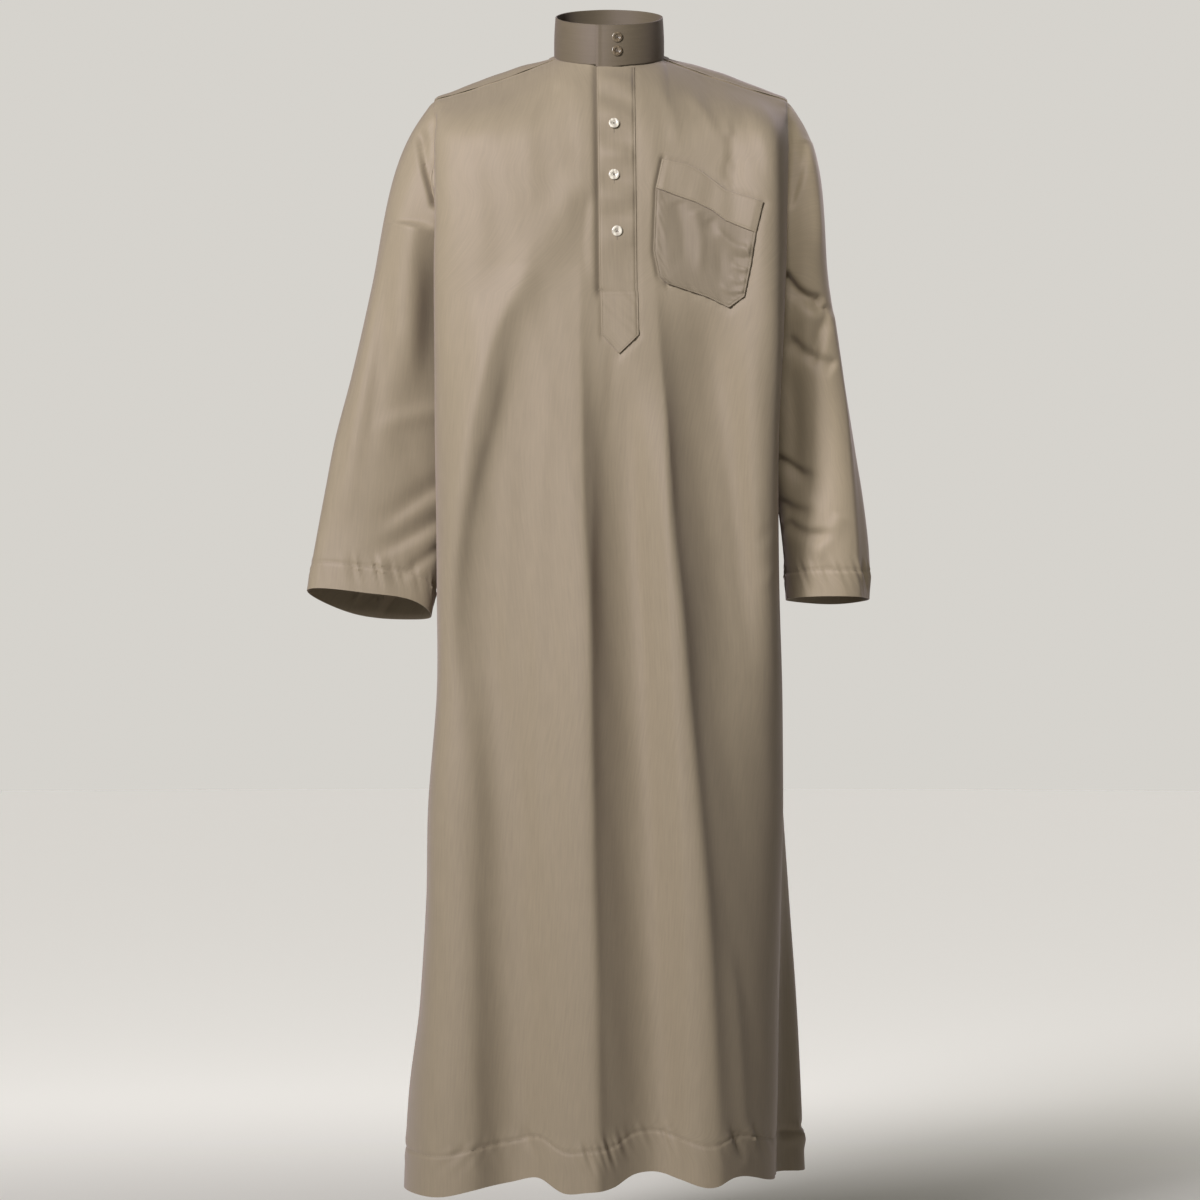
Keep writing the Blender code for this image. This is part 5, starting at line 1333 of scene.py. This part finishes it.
def cloth_finish(name, colour, turned=False):
    """Smooth woven cloth: warp and weft ribs at half a millimetre, slubs drawn out along the
    warp, a faint unevenness of the dye, and a soft pink sheen over an olive ground."""
    finish, tree, shader = new_finish(name, {
        "Roughness": 0.60, "Specular IOR Level": 0.32, "Specular Tint": (1.0, 0.84, 0.96, 1.0),
        "Sheen Weight": 0.25, "Sheen Roughness": 0.45, "Sheen Tint": (1.0, 0.82, 0.92, 1.0)})
    cloth = add_node(tree, "UVMap", "UV", {}, uv_map="cloth")
    turn = add_node(tree, "Mapping", "Vector", {
        "Vector": cloth, "Rotation": (0.0, 0.0, math.pi / 2 if turned else 0.0)})
    ribs = [add_node(tree, "TexWave", "Fac", {
        "Vector": turn, "Scale": math.pi / (20 * pitch), "Distortion": 0.6,
        "Detail": 1.0}, bands_direction=axis) for axis, pitch in (("X", 0.55 * MM),
                                                                  ("Y", 0.60 * MM))]
    weave = add_node(tree, "Math", "Value", dict(enumerate(ribs)), operation="MULTIPLY")
    drawn = add_node(tree, "Mapping", "Vector", {"Vector": turn, "Scale": (1.0, 0.06, 1.0)})
    slub = add_node(tree, "TexNoise", "Fac", {"Vector": drawn, "Scale": 420.0, "Detail": 3.0})
    cloud = add_node(tree, "TexNoise", "Fac", {"Vector": turn, "Scale": 34.0, "Detail": 4.0})
    both = add_node(tree, "Mix", "Result", {"Factor": 0.2, "A": slub, "B": cloud},
                    data_type="FLOAT")
    dye = add_ramp(tree, both, scaled(colour, 1 - DYE_SPREAD), scaled(colour, 1 + DYE_SPREAD),
                   0.30, 0.70)
    fine = add_node(tree, "Bump", "Normal", {"Strength": 0.35, "Distance": 0.06 * MM,
                                             "Height": weave})
    soft = add_node(tree, "Bump", "Normal", {"Strength": 0.15, "Distance": 0.2 * MM,
                                             "Height": both, "Normal": fine})
    fill(tree, shader, {"Base Color": dye, "Normal": soft})
    return finish


def mottled_finish(name, values, kind, pattern, low, high, start=0.0, end=1.0):
    """A finish whose colour runs between two along a pattern fixed to the piece."""
    finish, tree, shader = new_finish(name, values)
    spot = add_node(tree, "TexCoord", "Object", {})
    shade = add_node(tree, kind, "Fac", {"Vector": spot, **pattern})
    fill(tree, shader, {"Base Color": add_ramp(tree, shade, low, high, start, end)})
    return finish


def thread_finish(name, colour):
    """Spun thread: a fine twist across each stitch."""
    return mottled_finish(name, {"Roughness": 0.5, "Sheen Weight": 0.3}, "TexNoise",
                          {"Scale": 2600.0}, scaled(colour, 0.80), scaled(colour, 1.18))


def pearl_finish(name, pale, grey):
    """Polished shell: drifting pale and grey bands under a clear coat."""
    return mottled_finish(
        name, {"Roughness": 0.22, "Coat Weight": 0.5, "Coat Roughness": 0.08}, "TexWave",
        {"Scale": 60.0, "Distortion": 9.0, "Detail": 3.0}, grey, pale)


def horn_finish(name, dark, pale):
    """Polished horn-like button: cloudy streaks, glossy."""
    return mottled_finish(
        name, {"Roughness": 0.28, "Coat Weight": 0.35, "Coat Roughness": 0.12}, "TexNoise",
        {"Scale": 240.0, "Detail": 5.0, "Distortion": 1.5}, dark, pale, 0.35, 0.68)


def floor_finish(name, colour):
    """Matt painted studio floor with a trace of unevenness. It grows paler and glows with the
    distance from a place before the garment, so that it ends like the air behind it."""
    finish, tree, shader = new_finish(name, {
        "Roughness": 0.9, "Emission Color": (*PALE_AIR, 1.0)})
    spot = add_node(tree, "TexCoord", "Object", {})
    noise = add_node(tree, "TexNoise", "Fac", {"Vector": spot, "Scale": 1.5})
    away = add_node(tree, "VectorMath", "Value", {0: spot, 1: FLOOR_MIDDLE},
                    operation="DISTANCE")
    near, far = FLOOR_FADE
    far = add_node(tree, "MapRange", "Result", {
        "Value": away, "From Min": near, "From Max": far, "To Min": 0.0, "To Max": 0.9},
        interpolation_type="SMOOTHSTEP")
    both = add_node(tree, "Math", "Value", {0: noise, 1: 0.04, 2: far}, operation="MULTIPLY_ADD")
    glow = add_node(tree, "Math", "Value", {0: far, 1: 0.55}, operation="MULTIPLY")
    fill(tree, shader, {"Base Color": add_ramp(tree, both, colour, (0.97, 0.95, 0.91)),
                        "Emission Strength": glow})
    return finish


# ---- settings -----------------------------------------------------------------------------
def length_setting(name, description, default, **limits):
    """A setting in metres."""
    return FloatProperty(name=name, description=description, default=default,
                         subtype="DISTANCE", unit="LENGTH", **limits)


def colour_setting(name, description, default):
    """A setting of red, green and blue."""
    return FloatVectorProperty(name=name, description=description, default=default, min=0,
                               max=1, subtype="COLOR")


class ThobeClothSettings(bpy.types.PropertyGroup):
    """Sizes and colours of the cloth."""
    wall: length_setting("Cloth thickness", "Thickness of the shown cloth", 0.7 * MM,
                         min=0.2 * MM, max=3 * MM)
    colour: colour_setting("Cloth colour", "Colour of the taupe cloth", (0.238, 0.196, 0.133))
    thread: colour_setting("Thread colour", "Colour of the stitching", (0.225, 0.178, 0.115))
    pitch: length_setting("Stitch pitch", "From one stitch to the next", 3.0 * MM, min=1.5 * MM,
                          max=8 * MM)


class ThobeButtonSettings(bpy.types.PropertyGroup):
    """Sizes and colours of the buttons."""
    radius: length_setting("Button radius", "Radius of a button", 6.6 * MM, min=3 * MM,
                           max=12 * MM)
    pearl: colour_setting("Pearl colour", "Pale bands of the shell buttons", (0.68, 0.64, 0.53))
    horn: colour_setting("Collar button colour", "Pale streaks of the collar's buttons",
                         (0.200, 0.158, 0.105))


class ThobeStageSettings(bpy.types.PropertyGroup):
    """Floor, light and camera."""
    floor_z: length_setting("Floor height", "Height of the floor", FLOOR_Z)
    distance: length_setting("Camera distance", "Camera to the garment's middle", 5.5, min=1,
                             max=20)
    pale: colour_setting("Surroundings", "Colour seen behind the garment", PALE_AIR)
    paint: colour_setting("Floor paint", "Colour of the floor", (0.56, 0.54, 0.50))
    ambient: FloatProperty(name="Ambient light", description="Strength of the light all round",
                           default=0.06, min=0, max=5)
    window: FloatVectorProperty(name="Window", description="Where the main light comes from",
                                default=(-0.53, -0.81, 0.56), subtype="DIRECTION")
    power: FloatProperty(name="Main light", description="Strength of the main light",
                         default=1.56, min=0, max=50)
    box_power: FloatProperty(name="Soft box", description="Power of the soft box above the left",
                             default=60.0, min=0, max=1000)


class ThobeSettings(bpy.types.PropertyGroup):
    """All settings of the robe."""
    cloth: PointerProperty(type=ThobeClothSettings)
    buttons: PointerProperty(type=ThobeButtonSettings)
    stage: PointerProperty(type=ThobeStageSettings)


FINISHES = {}


def finishes():
    """The robe's materials, made once."""
    if not FINISHES:
        settings = bpy.context.scene.thobe
        colour = tuple(settings.cloth.colour)
        FINISHES["cloth"] = cloth_finish("taupe cloth", colour)
        FINISHES["trim"] = cloth_finish("taupe trim", scaled(colour, 0.97))
        # The pocket bag is painted 0.82 times as bright as the cloth: painted shade for its
        # sagging face, turned away from the light.
        FINISHES["bag"] = cloth_finish("taupe pocket with painted shade", scaled(colour, 0.82))
        # The collar is painted at under half the cloth's brightness: painted shade for the dimmer
        # light that falls on its upright band.
        darker = tuple(share * c for share, c in zip((0.46, 0.45, 0.42), colour))
        FINISHES["band"] = cloth_finish("taupe collar with painted shade", darker, turned=True)
        FINISHES["thread"] = thread_finish("taupe thread", settings.cloth.thread)
        FINISHES["dark thread"] = thread_finish("button thread", (0.075, 0.055, 0.035))
        FINISHES["pearl"] = pearl_finish("pearl", settings.buttons.pearl, (0.40, 0.36, 0.30))
        FINISHES["horn"] = horn_finish("brown horn", (0.075, 0.052, 0.030),
                                       settings.buttons.horn)
        FINISHES["floor"] = floor_finish("pale floor", settings.stage.paint)
    return FINISHES


# ---- operators ----------------------------------------------------------------------------
def sew(name, runs, slot, finish="thread", **sizes):
    """Add stitches along the runs; they ride on the garment and stand for no solid."""
    place(add_stitches(name, runs, finishes()[finish], **sizes), None)


class THOBE_OT_body(bpy.types.Operator):
    """Build the front and back panels"""
    bl_idname = "thobe.body"
    bl_label = "Front and back"

    def execute(self, context):
        wall = context.scene.thobe.cloth.wall
        (front, back), (front_out, back_out), _ = body_grids()
        for name, grid, out, cut in (("front", front, front_out, FRONT_CUT),
                                     ("back", back[:, ::-1], back_out[:, ::-1], BACK_CUT)):
            piece = add_wall(name + "_cloth", grid, grid - out * wall, finishes()["cloth"])
            place(piece, name + "_panel")
        return {"FINISHED"}


class THOBE_OT_sleeves(bpy.types.Operator):
    """Build the two sleeves"""
    bl_idname = "thobe.sleeves"
    bl_label = "Sleeves"

    def execute(self, context):
        wall = context.scene.thobe.cloth.wall
        for side in ("right", "left"):
            grid, out = sleeve_grid(side)
            piece = add_wall("sleeve_cloth_" + side, grid, grid - out * wall,
                             finishes()["cloth"], wrap=True)
            place(piece, "sleeve_" + side)
        return {"FINISHED"}


class THOBE_OT_collar(bpy.types.Operator):
    """Build the stand collar's band"""
    bl_idname = "thobe.collar"
    bl_label = "Collar"

    def execute(self, context):
        piece = place(build_collar(finishes()["band"]), "collar_band")
        return {"FINISHED"}


class THOBE_OT_trims(bpy.types.Operator):
    """Build the placket and the chest pocket"""
    bl_idname = "thobe.trims"
    bl_label = "Placket and pocket"

    def execute(self, context):
        finish = finishes()["trim"]
        placket = build_placket(finish)
        bag, band = build_pocket(finishes()["bag"], finish)
        for piece, node, cut in ((placket, "placket", PLACKET_CUT),
                                 (bag, "chest_pocket", BAG_CUT),
                                 (band, "chest_pocket_band", BAND_CUT)):
            place(piece, node)
        return {"FINISHED"}


class THOBE_OT_buttons(bpy.types.Operator):
    """Build the five buttons and the thread that holds them"""
    bl_idname = "thobe.buttons"
    bl_label = "Buttons"

    def execute(self, context):
        radius = context.scene.thobe.buttons.radius
        frames = []
        for number, (x, z) in enumerate(PLACKET_BUTTONS, 1):
            x, z = x * MM, z * MM
            height, _ = placket_height(np.array([x]), np.array([z]), np.array([0.02]))
            held = button_frame(x, z, float(height[0]))
            frames.append(held)
            piece = add_button("pearl_button_%d" % number, held, radius, finishes()["pearl"])
            place(piece, "button_placket_%d" % number)
        for number, (x, z) in enumerate(COLLAR_BUTTONS, 1):
            held = collar_frame(x * MM, z * MM)
            frames.append(held)
            piece = add_button("horn_button_%d" % number, held, radius, finishes()["horn"])
            place(piece, "button_collar_%d" % number)
        runs = [thread_runs(held, radius) for held in frames]
        sew("button_thread", runs, "taupe_trim", "dark thread", length=2.9 * MM)
        return {"FINISHED"}


class THOBE_OT_stitching(bpy.types.Operator):
    """Build the stitch lines of the hem, cuffs, placket, buttonholes and pockets"""
    bl_idname = "thobe.stitching"
    bl_label = "Stitching"

    def execute(self, context):
        pitch = context.scene.thobe.cloth.pitch
        runs = [spaced(*level_line(grid, normal, HEM_DEPTH), pitch)
                for grid, normal in zip(*body_grids()[:2])]
        sew("hem_stitches", runs, "taupe_cloth")
        runs = [spaced(*level_line(*sleeve_grid(side), CUFF_DEPTH, wrap=True), pitch)
                for side in ("right", "left")]
        sew("cuff_stitches", runs, "taupe_cloth")

        def face(x, z):
            """Height of the placket's face over the front, at its stitch line."""
            return placket_height(x, z, np.full(x.shape, PLACKET_STITCH))[0]

        right, left = PLACKET_EDGE["right"], PLACKET_EDGE["left"]
        foot_z = PLACKET_EDGE["z"][3]
        tip, inset = PLACKET_TIP, PLACKET_INSET
        lines = [
            ((left[0] - inset, -23), (left[1] - inset, -303)),
            *(((right[1] + 1, level), (left[1] - 1, level)) for level in PLACKET_BOX_Z),
            ((right[2] + inset, -311), (right[3] + inset, foot_z - 1), (tip[0], tip[1] + 3.4),
             (left[3] - inset, foot_z - 1), (left[2] - inset, -311)),
        ]
        runs = [chest_run(line, pitch, face) for line in lines]
        tack = ((right[1] - 1.5, -300.5), (right[1] + 3.5, -300.5))
        runs += [chest_run([(x, z - 0.45 * k) for x, z in tack], 0.5 * pitch,
                           lambda x, z: face(np.maximum(x, right[1] * MM + 1 * MM), z))
                 for k in range(4)]
        sew("placket_stitches", runs, "taupe_trim")
        runs = []
        for x, z in PLACKET_BUTTONS:
            slit = [(x, z - 6.4), (x + 0.1, z - 11.4)]
            points, facing, along = chest_run(slit, 0.45 * MM, face)
            runs.append((points, facing, np.cross(facing, along)))
        sew("buttonhole_stitches", runs, "taupe_trim", "dark thread", length=1.5 * MM,
            radius=0.2 * MM)
        sew("pocket_stitches", pocket_runs(pitch), "taupe_trim")
        x, z = along_line(SIDE_POCKET, np.linspace(0, 1, 200)).T
        sew("side_pocket_stitches", [spaced(*on_front(x, z, 0 * x, HIP), pitch)], "taupe_cloth")
        return {"FINISHED"}


FLOOR_RADII = (0.02, 14.0)
FLOOR_SIDES = 64
COOL_TINT = (0.97, 0.96, 1.0)
WARM_TINT = (1.0, 0.97, 0.93)
SENSOR_WIDTH = 36.0
PICTURE_WIDTH = 1.506        # metres seen from side to side at the garment's middle
PICTURE_MIDDLE = (-0.0113, -0.6815)


def add_lamp(name, kind, power, tint, towards):
    """A light that shines from a direction: it is tipped off the vertical and turned about it."""
    light = bpy.data.lights.new(name, kind)
    light.energy = power
    light.color = tint
    lamp = bpy.data.objects.new(name, light)
    x, y, z = towards
    lamp.rotation_euler = (math.atan2(math.hypot(x, y), z), 0.0, math.atan2(x, -y))
    bpy.context.scene.collection.objects.link(lamp)
    return lamp


class THOBE_OT_stage(bpy.types.Operator):
    """Set up the floor, the lights and the camera"""
    bl_idname = "thobe.stage"
    bl_label = "Floor, light and camera"

    def execute(self, context):
        scene = context.scene
        stage = scene.thobe.stage
        turn = circle(FLOOR_SIDES)
        ring = np.stack([np.cos(turn), np.sin(turn), 0 * turn], axis=-1)
        points = np.concatenate([ring * radius for radius in FLOOR_RADII])
        points = points + (0.0, 0.0, stage.floor_z)
        quads = np.concatenate(ring_quads(len(FLOOR_RADII), FLOOR_SIDES))
        put_mesh("floor", points, quads, finishes()["floor"])

        world = bpy.data.worlds.new("pale room")
        world.use_nodes = True
        tree = world.node_tree
        fill(tree, tree.nodes["Background"], {"Color": (1.0, 0.93, 0.68, 1.0),
                                              "Strength": stage.ambient})
        seen = add_node(tree, "Background", "Background", {"Color": (*stage.pale, 1.0)})
        ray = add_node(tree, "LightPath", "Is Camera Ray", {})
        mix = add_node(tree, "MixShader", "Shader", {
            "Fac": ray, 1: tree.nodes["Background"].outputs["Background"], 2: seen})
        fill(tree, tree.nodes["World Output"], {"Surface": mix})
        scene.world = world
        scene.view_settings.view_transform = "Standard"

        for name, towards, spread, power, tint in (
                ("window", stage.window, 24.0, stage.power, COOL_TINT),
                ("behind", (0.40, 0.85, 0.42), 40.0, 0.32 * stage.power, WARM_TINT),
                ("far side", (0.80, -0.45, 0.35), 60.0, 0.05 * stage.power, (0.95, 0.97, 1.0))):
            lamp = add_lamp(name, "SUN", power, tint, towards)
            lamp.data.angle = math.radians(spread)
        far_sleeve = bpy.data.collections.new("far sleeve")
        far_sleeve.objects.link(bpy.data.objects["sleeve_cloth_left"])
        for name, spot, target, size, power, tint, lit in (
                ("soft box", (-1.20, -1.80, 0.70), (0.0, 0.0, -0.45), 0.6, stage.box_power,
                 COOL_TINT, None),
                ("sleeve card", (0.20, -0.85, 0.35), (0.27, -0.04, -0.50), 0.2,
                 0.125 * stage.box_power, WARM_TINT, far_sleeve)):
            lamp = add_lamp(name, "AREA", power, tint, np.array(spot) - np.array(target))
            lamp.data.shape = "SQUARE"
            lamp.data.size = size
            lamp.location = spot
            lamp.visible_camera = False
            lamp.light_linking.receiver_collection = lit

        lens = bpy.data.cameras.new("camera")
        lens.sensor_fit = "HORIZONTAL"
        lens.sensor_width = SENSOR_WIDTH
        lens.lens = SENSOR_WIDTH * stage.distance / PICTURE_WIDTH
        camera = bpy.data.objects.new("camera", lens)
        camera.location = (PICTURE_MIDDLE[0], -stage.distance, PICTURE_MIDDLE[1])
        camera.rotation_euler = (math.pi / 2, 0.0, 0.0)
        scene.collection.objects.link(camera)
        scene.camera = camera
        return {"FINISHED"}


class THOBE_PT_panel(bpy.types.Panel):
    """Lists the robe's pieces in the sidebar"""
    bl_idname = "THOBE_PT_panel"
    bl_label = "Thobe robe"
    bl_space_type = "VIEW_3D"
    bl_region_type = "UI"
    bl_category = "Thobe"

    def draw(self, context):
        settings = context.scene.thobe
        for group in (settings.cloth, settings.buttons, settings.stage):
            for name in group.__annotations__:
                self.layout.prop(group, name)
        for step in STEPS:
            self.layout.operator(step.bl_idname)


STEPS = (THOBE_OT_body, THOBE_OT_sleeves, THOBE_OT_collar, THOBE_OT_trims, THOBE_OT_buttons,
         THOBE_OT_stitching, THOBE_OT_stage)
CLASSES = (ThobeClothSettings, ThobeButtonSettings, ThobeStageSettings, ThobeSettings,
           *STEPS, THOBE_PT_panel)


def register():
    """Make the settings, operators and panel known."""
    for part in CLASSES:
        bpy.utils.register_class(part)
    bpy.types.Scene.thobe = PointerProperty(type=ThobeSettings)


def unregister():
    """Take them all back, the last first."""
    del bpy.types.Scene.thobe
    for part in reversed(CLASSES):
        bpy.utils.unregister_class(part)


def main():
    """Run every step in order."""
    register()
    for step in STEPS:
        group, name = step.bl_idname.split(".")
        getattr(getattr(bpy.ops, group), name)()


if __name__ == "__main__":
    main()
